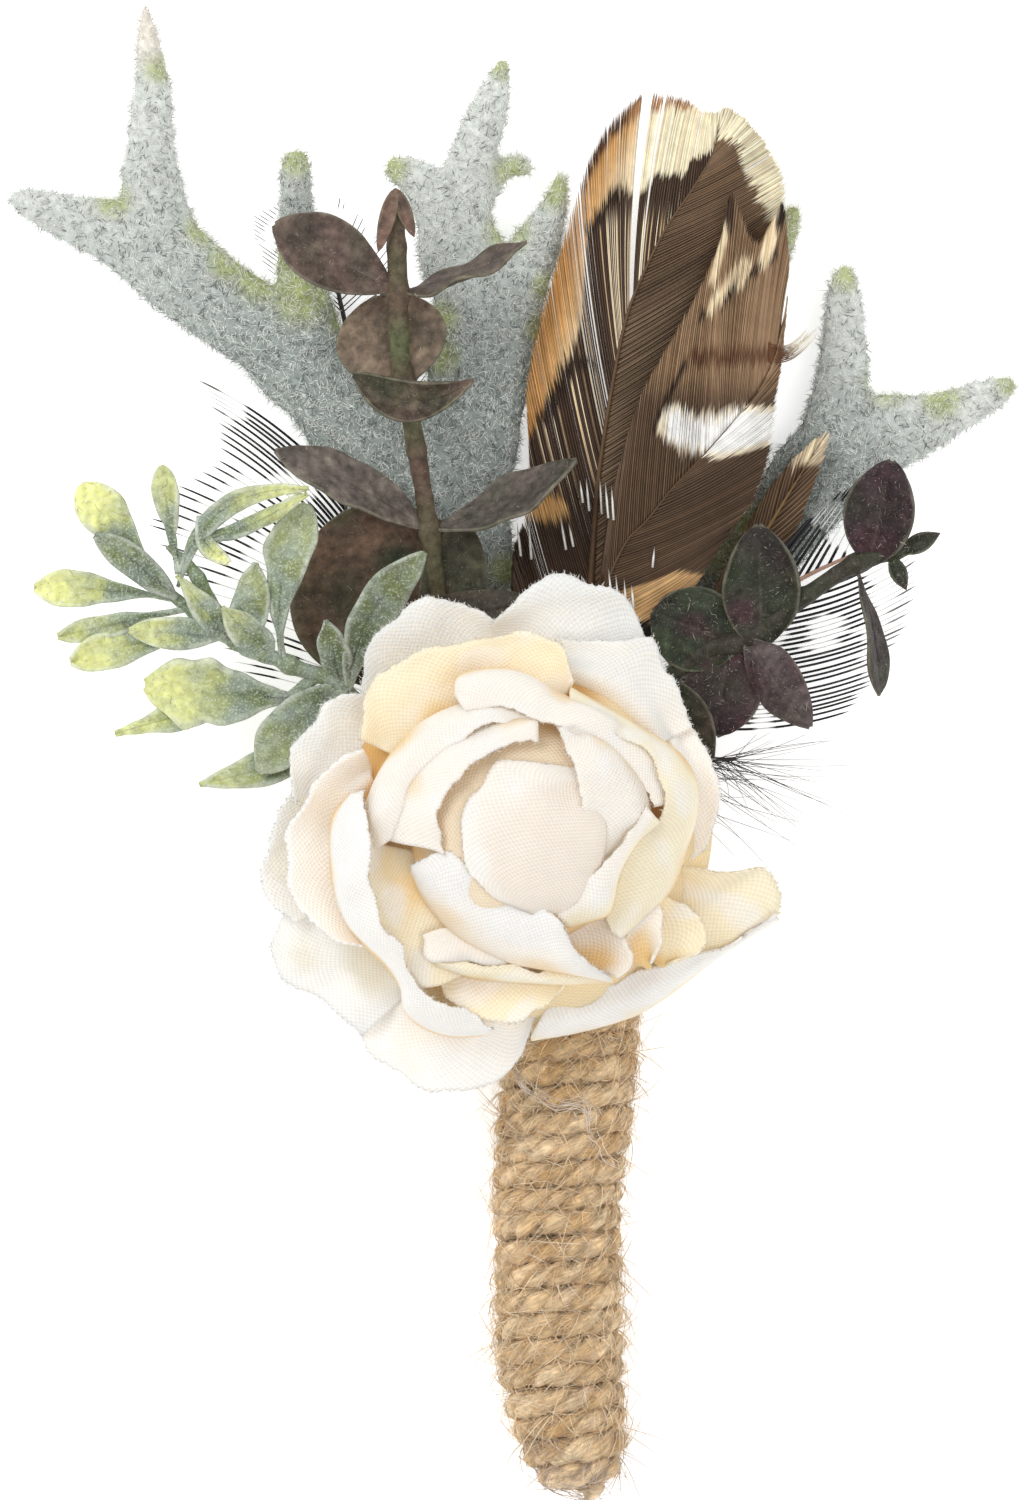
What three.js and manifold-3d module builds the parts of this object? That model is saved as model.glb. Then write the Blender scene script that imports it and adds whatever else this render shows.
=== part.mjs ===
// A lapel boutonniere of artificial flowers and foliage, lying on its back. Millimetres, +Z up.
// The stem bundle runs along -Y, wound with jute twine; the cream bloom faces up over its neck;
// flocked antler-fern leaves, two eucalyptus sprigs, a leafy green spray and feathers fan out behind it.
// Every stem and quill ends in its own hole in the taped core that the twine is wound round.
import * as THREE from "three";
import { mergeVertices } from "three/addons/utils/BufferGeometryUtils.js";
import Module from "manifold-3d";

const wasm = await Module();
wasm.setup();

// ---- driving dimensions, mm ----
const TWINE_RADIUS = 1.2;
const TWINE_PITCH = 2.4; // from one turn of the twine to the next, along the handle's surface
const TWINE_SIDES = 5;
const TWINE_TOP_Y = -22.9;
const TWINE_END_Y = -70;
const STEPS_PER_TURN = 10;
const SEAT_GAP = 0.3; // clearance between pieces that the real object presses together
const HOLE_GAP = 0.25; // round each stem in the taped core
const BLADE = 0.7; // thickness of leaves and petals
const VANE = 0.6; // thickness of a feather's vane
const BARB_RADIUS = 0.35;
const NECK_Y = -17; // top face of the taped core, where the stems come out
const STEM_END_Y = -20.5; // how far down the stems reach into their holes

// Where each stem enters the taped core: x, z and the stem's radius there.
const SLOTS = {
  antlerLeft: [3.3, 4.2, 0.9],
  antlerCentre: [5.9, 4.0, 0.9],
  antlerRight: [8.7, 4.0, 0.9],
  barredLeft: [4.6, 2.6, 0.4],
  barredTop: [7.2, 2.6, 0.4],
  pheasantLeft: [6.4, 6.1, 0.4],
  pheasantRight: [6.8, 7.6, 0.4],
  pheasantSmall: [7.9, 5.9, 0.4],
  barredRight: [8.2, 7.4, 0.4],
  down: [9.4, 6.6, 0.4],
  spray: [2.4, 6.8, 0.8],
  eucalyptusTop: [3.7, 9.2, 0.8],
  eucalyptusRight: [8.6, 9.3, 0.8],
  bloom: [6.2, 9.7, 1.0],
};

// The handle: its centre line bends a little, and its radius is the outside of the twine.
const HANDLE = [
  { y: -17.0, x: 5.8, radius: 6.6 },
  { y: -24.0, x: 5.6, radius: 6.6 },
  { y: -29.6, x: 5.4, radius: 6.5 },
  { y: -36.2, x: 4.9, radius: 6.3 },
  { y: -42.9, x: 4.4, radius: 6.0 },
  { y: -51.4, x: 4.3, radius: 5.9 },
  { y: -57.1, x: 4.7, radius: 6.0 },
  { y: -61.9, x: 4.9, radius: 5.6 },
  { y: -66.6, x: 5.6, radius: 4.8 },
  { y: -69.0, x: 6.0, radius: 3.6 },
  { y: -70.4, x: 6.0, radius: 1.4 },
];
const PRESSED = 0.5; // depth by which the twine's underside is pressed flat on the table
const ROUNDED_Y = -62; // where the handle starts to round over to its end
const NECK_RADIUS = 5.6; // the taped core flares above the twine

// The bloom
const BLOOM_X = 0.8;
const BLOOM_Y = -7.2;
const BUD_RADIUS = 7.0;
const BUD_TOP = 36;
const CALYX_TOP = 13.6;

// ---- materials ----
const paint = (color, roughness) => new THREE.MeshStandardMaterial({ color, roughness, metalness: 0 });
const fabric = paint(0xf3ead6, 0.9);
const flocking = paint(0xa9b8b4, 1.0);
const purpleLeaf = paint(0x5a4a48, 0.6);
const greenSpray = paint(0x93a57c, 0.8);
const plumage = paint(0x5c4030, 0.7);
const barredPlumage = paint(0x55524f, 0.8);
const jute = paint(0xb48f5e, 0.95);
const floralTape = paint(0x5d6b45, 0.7);

// ---- solids from points ----
const point = (x, y, z) => new THREE.Vector3(x, y, z);
const UP = point(0, 0, 1);

/** A closed body from vertices and triangles. */
function solidOf(vertices, triangles) {
  return new wasm.Manifold(
    new wasm.Mesh({
      numProp: 3,
      vertProperties: Float32Array.from(vertices.flatMap((v) => [v.x, v.y, v.z])),
      triVerts: Uint32Array.from(triangles.flat()),
    }),
  );
}

/** A closed body from a three.js geometry. */
function solidOfGeometry(geometry) {
  const bare = geometry.clone();
  bare.deleteAttribute("normal");
  bare.deleteAttribute("uv");
  const merged = mergeVertices(bare, 1e-4);
  return new wasm.Manifold(
    new wasm.Mesh({
      numProp: 3,
      vertProperties: merged.attributes.position.array,
      triVerts: new Uint32Array(merged.index.array),
    }),
  );
}

/** One body fused from several, with any pocket that they close off between them filled in. */
const join = (solids) =>
  wasm.Manifold.union(wasm.Manifold.union(solids).decompose().filter((shell) => shell.volume() > 0));

/** The mesh of one node. */
function node(name, solid, material) {
  const made = solid.getMesh();
  const geometry = new THREE.BufferGeometry();
  geometry.setAttribute("position", new THREE.BufferAttribute(made.vertProperties, 3));
  geometry.setIndex(new THREE.BufferAttribute(made.triVerts, 1));
  geometry.computeVertexNormals();
  const mesh = new THREE.Mesh(geometry, material);
  mesh.name = name;
  return mesh;
}

/** The value at share t of a list of evenly spread values, in straight lines between them. */
function spread(values, t) {
  const place = Math.min(Math.max(t, 0), 1) * (values.length - 1);
  const i = Math.min(Math.floor(place), values.length - 2);
  return values[i] + (values[i + 1] - values[i]) * (place - i);
}

const curveThrough = (points) =>
  new THREE.CatmullRomCurve3(points.map(([x, y, z]) => point(x, y, z)), false, "centripetal");

/** Rings of vertices joined into a closed tube with flat ends. */
function closeRings(rings) {
  const sides = rings[0].length;
  const end = (rings.length - 1) * sides;
  const triangles = [];
  for (let k = 1; k < sides - 1; k++) {
    triangles.push([0, k + 1, k], [end, end + k, end + k + 1]);
  }
  for (let i = 0; i < rings.length - 1; i++) {
    for (let k = 0; k < sides; k++) {
      const next = (k + 1) % sides;
      const a = i * sides;
      const b = a + sides;
      triangles.push([a + k, a + next, b + next], [a + k, b + next, b + k]);
    }
  }
  return solidOf(rings.flat(), triangles);
}

/** A round tube along a list of points, its ring carried along without twisting. */
function tube(points, radiusAt, sides) {
  const last = points.length - 1;
  let across = UP;
  const rings = points.map((p, i) => {
    const tangent = points[Math.min(i + 1, last)].clone().sub(points[Math.max(i - 1, 0)]).normalize();
    across = across.clone().addScaledVector(tangent, -across.dot(tangent)).normalize();
    const other = tangent.clone().cross(across);
    return Array.from({ length: sides }, (_, k) => {
      const a = (2 * Math.PI * k) / sides;
      return p
        .clone()
        .addScaledVector(across, radiusAt(i / last) * Math.cos(a))
        .addScaledVector(other, radiusAt(i / last) * Math.sin(a));
    });
  });
  return closeRings(rings);
}

/** The points of a stem or limb, from its slot in the core out along the places given. */
const rooted = ([x, z, radius], ...places) => [
  [x, STEM_END_Y, z, radius, radius],
  [x, NECK_Y + 1, z, radius, radius],
  ...places,
];

/** A stem or quill: a tube on a smooth curve, its radius given at evenly spread places. */
const stem = (points, radii, sides = 5, perSegment = 1) =>
  tube(curveThrough(points).getPoints((points.length - 1) * perSegment), (t) => spread(radii, t), sides);

/** A flattened limb that lies near the horizontal. Each station is [x, y, z, half width, half height]. */
function limb(stations, sides = 6) {
  const last = stations.length - 1;
  const curve = curveThrough(stations);
  const rings = stations.map(([x, y, z, halfWidth, halfHeight], i) => {
    const tangent = curve.getTangent(i / last);
    const side = tangent.clone().cross(UP).normalize();
    const top = side.clone().cross(tangent);
    return Array.from({ length: sides }, (_, k) => {
      const a = (2 * Math.PI * k) / sides;
      return point(x, y, z)
        .addScaledVector(side, -halfWidth * Math.cos(a))
        .addScaledVector(top, halfHeight * Math.sin(a));
    });
  });
  return closeRings(rings);
}

/** A blade of even thickness on surface(u, v), u from -1 to 1 across and v from 0 to 1 along. */
function blade(surface, columns, rows, thickness) {
  const step = 1e-3;
  const faces = [1, -1].map((sign) => {
    const face = [];
    for (let j = 0; j <= rows; j++) {
      for (let i = 0; i <= columns; i++) {
        const u = (2 * i) / columns - 1;
        const v = j / rows;
        const alongU = surface(u + step, v).sub(surface(u - step, v));
        const alongV = surface(u, v + step).sub(surface(u, v - step));
        face.push(surface(u, v).addScaledVector(alongU.cross(alongV).normalize(), (sign * thickness) / 2));
      }
    }
    return face;
  });
  const count = faces[0].length;
  const at = (i, j) => j * (columns + 1) + i;
  const triangles = [];
  for (let j = 0; j < rows; j++) {
    for (let i = 0; i < columns; i++) {
      const [a, b, c, d] = [at(i, j), at(i + 1, j), at(i + 1, j + 1), at(i, j + 1)];
      triangles.push([a, b, c], [a, c, d]);
      triangles.push([a + count, c + count, b + count], [a + count, d + count, c + count]);
    }
  }
  const rim = (a, b) => triangles.push([b, a, a + count], [b, a + count, b + count]);
  for (let i = 0; i < columns; i++) {
    rim(at(i, 0), at(i + 1, 0));
    rim(at(i + 1, rows), at(i, rows));
  }
  for (let j = 0; j < rows; j++) {
    rim(at(columns, j), at(columns, j + 1));
    rim(at(0, j + 1), at(0, j));
  }
  return solidOf(faces.flat(), triangles);
}

// ---- leaves ----
// Half width along a leaf, as a share of its widest.
const inside = (v) => Math.min(Math.max(v, 0), 1);
const OUTLINES = {
  round: (v) => Math.max(0.16, Math.sqrt(Math.max(0, 1 - (2 * v - 1) ** 2))),
  paddle: (v) => Math.max(0.3, Math.sin(Math.PI * inside(v) ** 1.9) ** 0.7),
  pointed: (v) => Math.max(0.14, Math.sin(Math.PI * inside(v) ** 0.9)),
};

/**
 * A leaf from its foot to its tip. roll turns it about its length, in degrees; cup lifts its sides,
 * bend its middle, and sway bows it to the right, each as a share of its width or length.
 */
function leaf({ foot, tip, width, roll = 0, cup = 0.12, bend = 0.08, sway = 0, outline, columns, rows }) {
  const shape = OUTLINES[outline];
  const start = point(...foot);
  const along = point(...tip).sub(start);
  const length = along.length();
  const side = along.clone().normalize().cross(UP).normalize();
  const face = side.clone().cross(along).normalize();
  const angle = THREE.MathUtils.degToRad(roll);
  const across = side.clone().multiplyScalar(Math.cos(angle)).addScaledVector(face, Math.sin(angle));
  const out = face.clone().multiplyScalar(Math.cos(angle)).addScaledVector(side, -Math.sin(angle));
  const surface = (u, v) => {
    const bow = 2 * length * v * (1 - v);
    return start
      .clone()
      .addScaledVector(along, v)
      .addScaledVector(across, (u * width * shape(v)) / 2)
      .addScaledVector(out, cup * width * (u * shape(v)) ** 2 + bend * bow)
      .addScaledVector(side, sway * bow);
  };
  return blade(surface, columns, rows, BLADE);
}

const round = (foot, tip, width, more) =>
  leaf({ foot, tip, width, outline: "round", columns: 4, rows: 4, ...more });
const paddle = (foot, tip, width, more) =>
  leaf({ foot, tip, width, outline: "paddle", columns: 2, rows: 3, ...more });
const pointed = (foot, tip, width, more) =>
  leaf({ foot, tip, width, outline: "pointed", columns: 2, rows: 3, ...more });

// ---- antler-fern leaves: thick flocked limbs that fork, resting on the table by their outer tips ----
const antlerLeft = () =>
  join([
    limb(rooted(SLOTS.antlerLeft,
      [-1.3, -3.0, 4.1, 1.3, 1.1], [-5.8, 10.3, 4.1, 2.2, 1.2], [-8.4, 17.9, 4.1, 3.0, 1.3],
      [-11.6, 24.0, 4.0, 3.8, 1.3], [-15.4, 31.2, 4.0, 4.6, 1.3], [-19.0, 36.0, 4.0, 4.9, 1.3],
      [-23.4, 39.8, 3.8, 4.4, 1.3], [-27.8, 42.6, 3.5, 3.9, 1.3], [-33.7, 47.2, 2.9, 4.2, 1.3],
      [-37.9, 49.3, 2.2, 3.1, 1.2], [-41.8, 50.5, 1.6, 2.4, 1.1], [-45.6, 51.9, 1.0, 1.6, 1.1],
      [-48.1, 52.7, 0.8, 0.8, 1.0],
    )),
    limb([
      [-33.0, 46.0, 3.0, 3.9, 1.2], [-34.3, 53.0, 3.0, 3.2, 1.3], [-34.4, 59.0, 3.1, 2.2, 1.3],
      [-34.3, 63.8, 3.5, 1.6, 1.2], [-34.7, 68.0, 4.1, 0.9, 0.8], [-35.0, 71.0, 4.6, 0.4, 0.4],
    ]),
    limb([
      [-18.6, 37.0, 4.0, 3.2, 1.2], [-20.0, 44.6, 4.0, 2.4, 1.3], [-20.5, 50.6, 4.3, 1.6, 1.2],
      [-20.6, 55.2, 4.7, 1.4, 1.1], [-20.4, 56.9, 4.9, 0.8, 0.7],
    ]),
  ]).trimByPlane([0, 0, 1], 0);

const antlerCentre = () =>
  join([
    limb(rooted(SLOTS.antlerCentre,
      [2.6, -3.0, 3.6, 1.2, 1.1], [-1.4, 9.5, 3.5, 2.1, 1.2], [-2.8, 17.9, 3.4, 2.9, 1.2],
      [-3.3, 24.0, 3.4, 3.4, 1.3], [-3.4, 30.3, 3.4, 4.0, 1.3], [-2.4, 37.0, 3.4, 4.5, 1.3],
      [-3.4, 43.6, 3.4, 4.3, 1.3], [-5.2, 49.3, 3.4, 3.8, 1.3], [-3.7, 56.4, 3.9, 2.2, 1.3],
      [-2.2, 60.7, 4.5, 1.7, 1.2], [-1.3, 63.5, 5.0, 1.1, 0.9], [-0.7, 65.7, 5.4, 0.5, 0.5],
    )),
    limb([
      [-5.6, 49.5, 3.4, 3.4, 1.2], [-8.2, 53.6, 3.2, 2.3, 1.1], [-10.6, 55.2, 3.1, 1.5, 1.0],
      [-11.9, 55.8, 3.1, 0.8, 0.7],
    ]),
    limb([
      [-1.6, 38.5, 3.4, 3.8, 1.2], [2.2, 47.6, 3.5, 2.4, 1.2], [4.1, 51.8, 4.0, 1.2, 1.0],
      [4.9, 54.9, 4.6, 0.6, 0.6],
    ]),
    limb([[-3.6, 51.5, 2.9, 1.4, 0.9], [-1.0, 55.2, 2.6, 1.1, 0.8], [1.2, 55.6, 2.6, 0.8, 0.7]]),
  ]);

const antlerRight = () =>
  join([
    limb(rooted(SLOTS.antlerRight,
      [12.2, -3.0, 3.6, 1.2, 1.1], [17.0, 7.5, 3.2, 2.0, 1.2], [21.7, 15.1, 3.0, 3.0, 1.3],
      [26.9, 22.2, 3.0, 3.8, 1.3], [31.0, 27.8, 2.8, 4.3, 1.3], [35.6, 30.0, 2.3, 3.8, 1.3],
      [40.0, 31.3, 1.7, 2.8, 1.2], [44.0, 33.0, 1.2, 2.0, 1.2], [47.0, 34.4, 0.9, 1.2, 1.0],
      [48.1, 34.9, 0.8, 0.6, 1.0],
    )),
    limb([
      [30.6, 27.5, 2.9, 3.6, 1.2], [31.6, 36.0, 3.2, 2.5, 1.3], [31.7, 40.7, 3.7, 1.8, 1.2],
      [31.7, 44.2, 4.3, 1.3, 1.1], [31.9, 46.0, 4.7, 0.6, 0.6],
    ]),
    limb([
      [16.4, 6.5, 3.2, 1.7, 1.1], [18.6, 19.0, 2.7, 2.4, 1.2], [20.8, 32.0, 2.4, 2.1, 1.2],
      [24.0, 43.6, 2.4, 1.6, 1.1], [26.5, 50.0, 2.6, 1.1, 0.9], [27.1, 51.8, 2.8, 0.5, 0.5],
    ]),
  ]).trimByPlane([0, 0, 1], 0);

// ---- sprigs: a stem with its leaves fused on ----
const eucalyptusTop = () =>
  join([
    stem(rooted(SLOTS.eucalyptusTop,
      [-0.6, -11.0, 8.5], [-3.6, -5.0, 8.2], [-5.6, 4.0, 8.8], [-6.9, 14.0, 10.0], [-7.8, 20.8, 11.2],
      [-9.5, 31.2, 12.6], [-10.5, 37.0, 13.2], [-10.8, 45.0, 14.2], [-11.0, 52.6, 15.0],
    ), [0.8, 0.8, 0.8, 0.75, 0.7]),
    round([-11.2, 43.6, 14.2], [-22.2, 48.4, 15.4], 6.6, { roll: -8 }),
    round([-10.4, 43.3, 14.2], [1.4, 47.9, 17.0], 6.2, { roll: 68, bend: -0.15 }),
    round([-10.2, 34.6, 12.6], [-12.4, 42.8, 10.6], 10.4, { cup: 0.04 }),
    round([-9.9, 35.8, 13.4], [-9.6, 31.2, 18.6], 10.2, { cup: -0.12 }),
    round([-7.9, 20.7, 11.4], [-22.4, 26.8, 13.2], 7.0, { roll: -42, bend: 0.16 }),
    round([-7.4, 20.7, 11.4], [6.1, 27.2, 14.4], 6.4, { roll: 50, bend: -0.12 }),
    round([-9.4, 6.2, 8.7], [-15.2, 22.6, 7.6], 17.6, { cup: 0, bend: 0 }),
    round([-6.8, 13.6, 10.2], [-1.6, 15.8, 14.6], 9.0, { roll: 20, cup: -0.1 }),
    pointed([-11.0, 49.0, 14.6], [-13.0, 47.4, 16.2], 1.8),
    pointed([-11.0, 51.6, 14.8], [-9.4, 48.4, 15.4], 1.5),
  ]);

const eucalyptusRight = () =>
  join([
    stem(rooted(SLOTS.eucalyptusRight,
      [10.6, -5.0, 9.8], [12.9, 4.0, 10.4], [17.9, 8.9, 11.2], [22.2, 10.4, 12.0], [27.4, 14.1, 13.0],
      [32.4, 17.4, 13.6], [36.4, 18.6, 14.0], [39.4, 19.3, 14.5],
    ), [0.8, 0.8, 0.9, 1.0, 1.0, 0.9, 0.5]),
    round([33.9, 17.6, 13.8], [36.2, 26.7, 16.0], 6.6, { roll: 10 }),
    paddle([32.6, 17.4, 13.8], [34.8, 5.2, 14.8], 5.0, { roll: 62 }),
    pointed([36.4, 18.4, 14.2], [40.4, 20.2, 15.2], 1.8),
    pointed([35.8, 18.6, 14.0], [37.2, 15.4, 14.8], 1.6),
    round([23.4, 10.4, 12.2], [23.8, 20.9, 15.2], 7.4, { roll: -8 }),
    pointed([22.4, 10.6, 12.3], [27.8, 2.4, 14.2], 4.8, { roll: -20 }),
    round([21.6, 10.0, 11.8], [13.4, 14.0, 10.4], 7.4),
    round([20.6, 9.8, 11.6], [19.4, 1.4, 10.6], 7.0),
    round([12.6, 4.6, 10.5], [16.4, -2.6, 12.0], 9.6, { cup: 0.1 }),
  ]);

const leafySpray = () =>
  join([
    stem(rooted(SLOTS.spray,
      [-4.0, -9.6, 7.8], [-11.0, -1.6, 9.0], [-15.8, 5.6, 10.4], [-21.0, 7.9, 11.4], [-26.3, 10.3, 12.2],
      [-30.5, 13.2, 12.8], [-33.2, 15.4, 13.2],
    ), [0.8, 0.8, 0.9, 1.0, 1.0, 0.9, 0.8, 0.6]),
    stem([[-27.0, 10.6, 12.0], [-29.6, 16.0, 12.8], [-32.6, 19.2, 13.2]], [0.6, 0.5], 4),
    stem([[-21.6, 8.1, 11.4], [-24.6, 5.2, 12.0]], [0.6, 0.5], 4),
    stem([[-14.2, 3.6, 10.0], [-18.4, -0.4, 10.8]], [0.6, 0.5], 4),
    paddle([-33.0, 15.5, 13.1], [-40.2, 24.5, 14.6], 5.0),
    paddle([-32.6, 15.0, 13.6], [-38.8, 20.4, 16.4], 3.4),
    paddle([-31.6, 17.6, 13.0], [-32.8, 26.4, 15.0], 2.4),
    paddle([-33.0, 15.0, 13.0], [-45.2, 14.8, 14.6], 3.8),
    paddle([-31.0, 13.2, 12.6], [-42.6, 10.9, 14.0], 2.4),
    paddle([-28.6, 11.6, 12.4], [-41.6, 8.8, 13.6], 3.4),
    paddle([-26.8, 10.6, 12.4], [-35.8, 11.4, 15.2], 3.4, { bend: 0.2 }),
    paddle([-20.6, 7.0, 11.2], [-34.3, 4.6, 13.4], 6.6, { roll: 8 }),
    pointed([-24.2, 5.3, 12.0], [-37.4, 1.6, 11.0], 3.0),
    pointed([-17.8, 0.0, 10.7], [-29.4, -3.2, 11.8], 3.2),
    paddle([-16.2, 5.6, 10.4], [-23.4, -1.8, 13.0], 5.2, { roll: -12 }),
    paddle([-15.6, 5.4, 10.6], [-8.4, 18.2, 14.2], 4.4, { sway: -0.22, roll: -10, rows: 4 }),
    pointed([-16.0, 5.6, 10.6], [-17.8, 11.6, 12.8], 2.8),
    paddle([-22.6, 8.4, 11.6], [-20.4, 23.2, 14.2], 3.6, { sway: -0.12 }),
    paddle([-26.4, 10.2, 12.2], [-24.6, 16.4, 14.4], 3.2),
    paddle([-29.6, 14.6, 12.8], [-20.6, 25.0, 16.8], 3.0, { sway: -0.2, rows: 4 }),
  ]);

// ---- feathers ----
/**
 * One half of a closed vane, between the rachis and the vane's edge. The edge is given by its x and y
 * and rides at the rachis's height plus lift; side is 1 for the right of the rachis and -1 for the left.
 */
function vane(rachis, side, from, edge, lift, rows) {
  const outer = curveThrough(edge.map(([x, y]) => [x, y, 0]));
  const surface = (u, v) => {
    const root = rachis.getPoint(from + (1 - from) * inside(v));
    const rim = outer.getPoint(inside(v)).setZ(root.z + lift);
    const out = (u + 1) / 2;
    const ragged = Math.round(v * rows) % 3 === 1 ? 0.95 : 1;
    return root.lerp(rim, out * ragged).add(point(0, 0, side * 0.04));
  };
  return blade(side > 0 ? surface : (u, v) => surface(-u, v), 2, rows, VANE);
}

function closedFeather({ line, from, leftEdge, rightEdge, lift, rows }) {
  const rachis = curveThrough(line);
  return join([
    stem(line, [0.4, 0.4, 0.45, 0.4, 0.35], 4),
    vane(rachis, -1, from, leftEdge, lift, rows),
    vane(rachis, 1, from, rightEdge, lift, rows),
  ]);
}

/** A feather with open barbs, each pair a thin bent prism across the rachis. */
function openFeather({ line, from, pairs, left, right, angles, lift = 0.4 }) {
  const rachis = curveThrough(line);
  const barbs = Array.from({ length: pairs }, (_, i) => {
    const v = i / (pairs - 1);
    const share = from + (0.97 - from) * v;
    const root = rachis.getPoint(share);
    const tangent = rachis.getTangent(share);
    const rightward = tangent.clone().cross(UP).normalize();
    const angle = THREE.MathUtils.degToRad(spread(angles, v));
    const tip = (side, reach) =>
      root
        .clone()
        .addScaledVector(tangent, reach * Math.cos(angle))
        .addScaledVector(rightward, side * reach * Math.sin(angle))
        .addScaledVector(UP, lift);
    return tube([tip(-1, spread(left, v)), root, tip(1, spread(right, v))], () => BARB_RADIUS, 3);
  });
  return join([stem(line, [0.4, 0.4, 0.4, 0.35], 4), ...barbs]);
}

const pheasantLeft = () =>
  closedFeather({
    line: rooted(SLOTS.pheasantLeft,
      [6.6, -3.0, 6.2], [7.2, 10.0, 6.3], [8.1, 19.8, 6.3], [8.9, 28.4, 6.4], [10.3, 37.9, 6.6],
      [13.2, 48.3, 7.0], [18.0, 56.0, 7.6], [20.6, 60.0, 8.2],
    ),
    from: 0.26,
    leftEdge: [
      [3.0, 2.0], [-0.3, 12.0], [0.4, 22.0], [1.9, 33.1], [3.5, 42.0], [5.2, 51.0], [8.4, 58.8],
      [12.4, 62.2], [16.5, 61.8], [20.2, 60.6],
    ],
    rightEdge: [
      [8.4, 0.0], [11.0, 12.0], [15.0, 24.0], [19.0, 35.0], [22.5, 42.5], [25.2, 48.3], [25.8, 52.4],
      [24.1, 56.4], [22.2, 59.2], [20.9, 60.4],
    ],
    lift: 0.5,
    rows: 9,
  });

const pheasantRight = () =>
  closedFeather({
    line: rooted(SLOTS.pheasantRight,
      [7.3, -3.0, 8.1], [8.6, 10.0, 8.6], [12.2, 22.2, 8.8], [17.0, 27.8, 9.0], [19.3, 32.4, 9.2],
      [21.6, 40.0, 9.6], [24.2, 50.2, 10.2],
    ),
    from: 0.3,
    leftEdge: [
      [7.6, 8.0], [8.9, 16.0], [11.7, 25.5], [14.9, 33.6], [17.3, 41.0], [20.8, 46.9], [24.0, 50.4],
    ],
    rightEdge: [
      [12.0, 8.0], [17.9, 14.9], [22.6, 21.4], [24.7, 29.3], [25.5, 35.2], [24.6, 43.0], [24.3, 49.6],
    ],
    lift: 0.5,
    rows: 8,
  });

const pheasantSmall = () =>
  closedFeather({
    line: rooted(SLOTS.pheasantSmall,
      [12.0, 0.0, 5.5], [18.0, 10.0, 5.4], [23.6, 17.9, 5.5], [26.5, 23.6, 5.7], [29.6, 29.4, 6.0],
    ),
    from: 0.5,
    leftEdge: [[17.0, 10.6], [21.0, 18.6], [24.6, 24.6], [29.2, 29.4]],
    rightEdge: [[20.6, 9.6], [25.6, 17.8], [28.6, 24.4], [30.0, 29.0]],
    lift: 0.3,
    rows: 4,
  });

const barredLeft = () =>
  openFeather({
    line: rooted(SLOTS.barredLeft,
      [-2.0, -9.0, 2.2], [-8.0, 0.0, 1.9], [-13.0, 12.0, 1.5], [-15.8, 23.0, 1.3], [-18.4, 31.2, 1.3],
    ),
    from: 0.42,
    pairs: 11,
    left: [13, 19, 22, 22, 20, 17, 13, 8],
    right: [3, 3, 3, 3, 3, 2.5, 2.5, 2],
    angles: [62, 56, 50, 44, 40, 36, 32, 26],
  });

const barredTop = () =>
  openFeather({
    line: rooted(SLOTS.barredTop,
      [1.0, -1.0, 1.7], [-6.6, 14.0, 1.3], [-13.2, 31.0, 1.3], [-16.2, 42.0, 1.4], [-17.4, 49.0, 1.7],
    ),
    from: 0.68,
    pairs: 7,
    left: [6, 9, 10, 9, 6],
    right: [5, 8, 9, 8, 5],
    angles: [46, 42, 38, 32, 24],
  });

const barredRight = () =>
  openFeather({
    line: rooted(SLOTS.barredRight,
      [10.4, -6.0, 7.2], [13.0, 4.0, 7.0], [19.6, 11.0, 6.9], [27.0, 16.8, 7.0], [33.2, 21.4, 7.2],
    ),
    from: 0.5,
    pairs: 11,
    left: [5, 8, 10, 11, 11, 9, 6],
    right: [12, 15, 17, 17, 15, 12, 7],
    angles: [54, 48, 42, 36, 30, 26, 22],
    lift: 0.1,
  });

const downTuft = () =>
  openFeather({
    line: rooted(SLOTS.down, [13.2, -7.0, 7.6], [17.0, -1.6, 8.6], [21.4, -1.0, 9.0]),
    from: 0.6,
    pairs: 6,
    left: [4, 6, 8, 8],
    right: [9, 10, 9, 8],
    angles: [60, 44, 30, 16],
  });

// ---- the bloom ----
// Each petal: from and to, in degrees round the bud from +X; the radius where it stands up; and the
// radius and height of its lip.
const PETALS = [
  [75, 195, 8.6, 11.6, 34.5], [-45, 60, 9.0, 11.4, 34.0], [190, 292, 8.8, 12.2, 34.8],
  [78, 192, 11.4, 14.4, 33.0], [0, 118, 12.0, 14.7, 32.4], [282, 352, 11.4, 14.2, 32.4],
  [214, 306, 12.2, 13.9, 30.0],
  [70, 152, 15.2, 18.2, 29.5], [-6, 74, 14.8, 17.6, 29.4], [288, 374, 14.4, 17.0, 30.4],
  [148, 238, 14.8, 18.0, 29.4], [232, 294, 15.4, 18.6, 27.5],
  [14, 82, 17.6, 20.6, 25.6], [150, 236, 18.0, 21.8, 25.0], [222, 270, 17.4, 21.0, 23.6],
  [262, 332, 17.8, 21.2, 22.6], [94, 152, 17.8, 20.4, 24.8],
  [52, 100, 19.4, 23.9, 20.6], [95, 142, 18.8, 23.0, 20.0], [134, 172, 19.2, 22.8, 19.6],
  [164, 206, 19.6, 24.3, 19.4], [192, 226, 19.6, 26.8, 18.6], [218, 280, 19.8, 26.8, 17.6],
  [-18, 38, 16.6, 20.0, 21.4], [328, 353, 18.6, 26.2, 20.0], [280, 326, 17.4, 21.2, 18.8],
];

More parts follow.
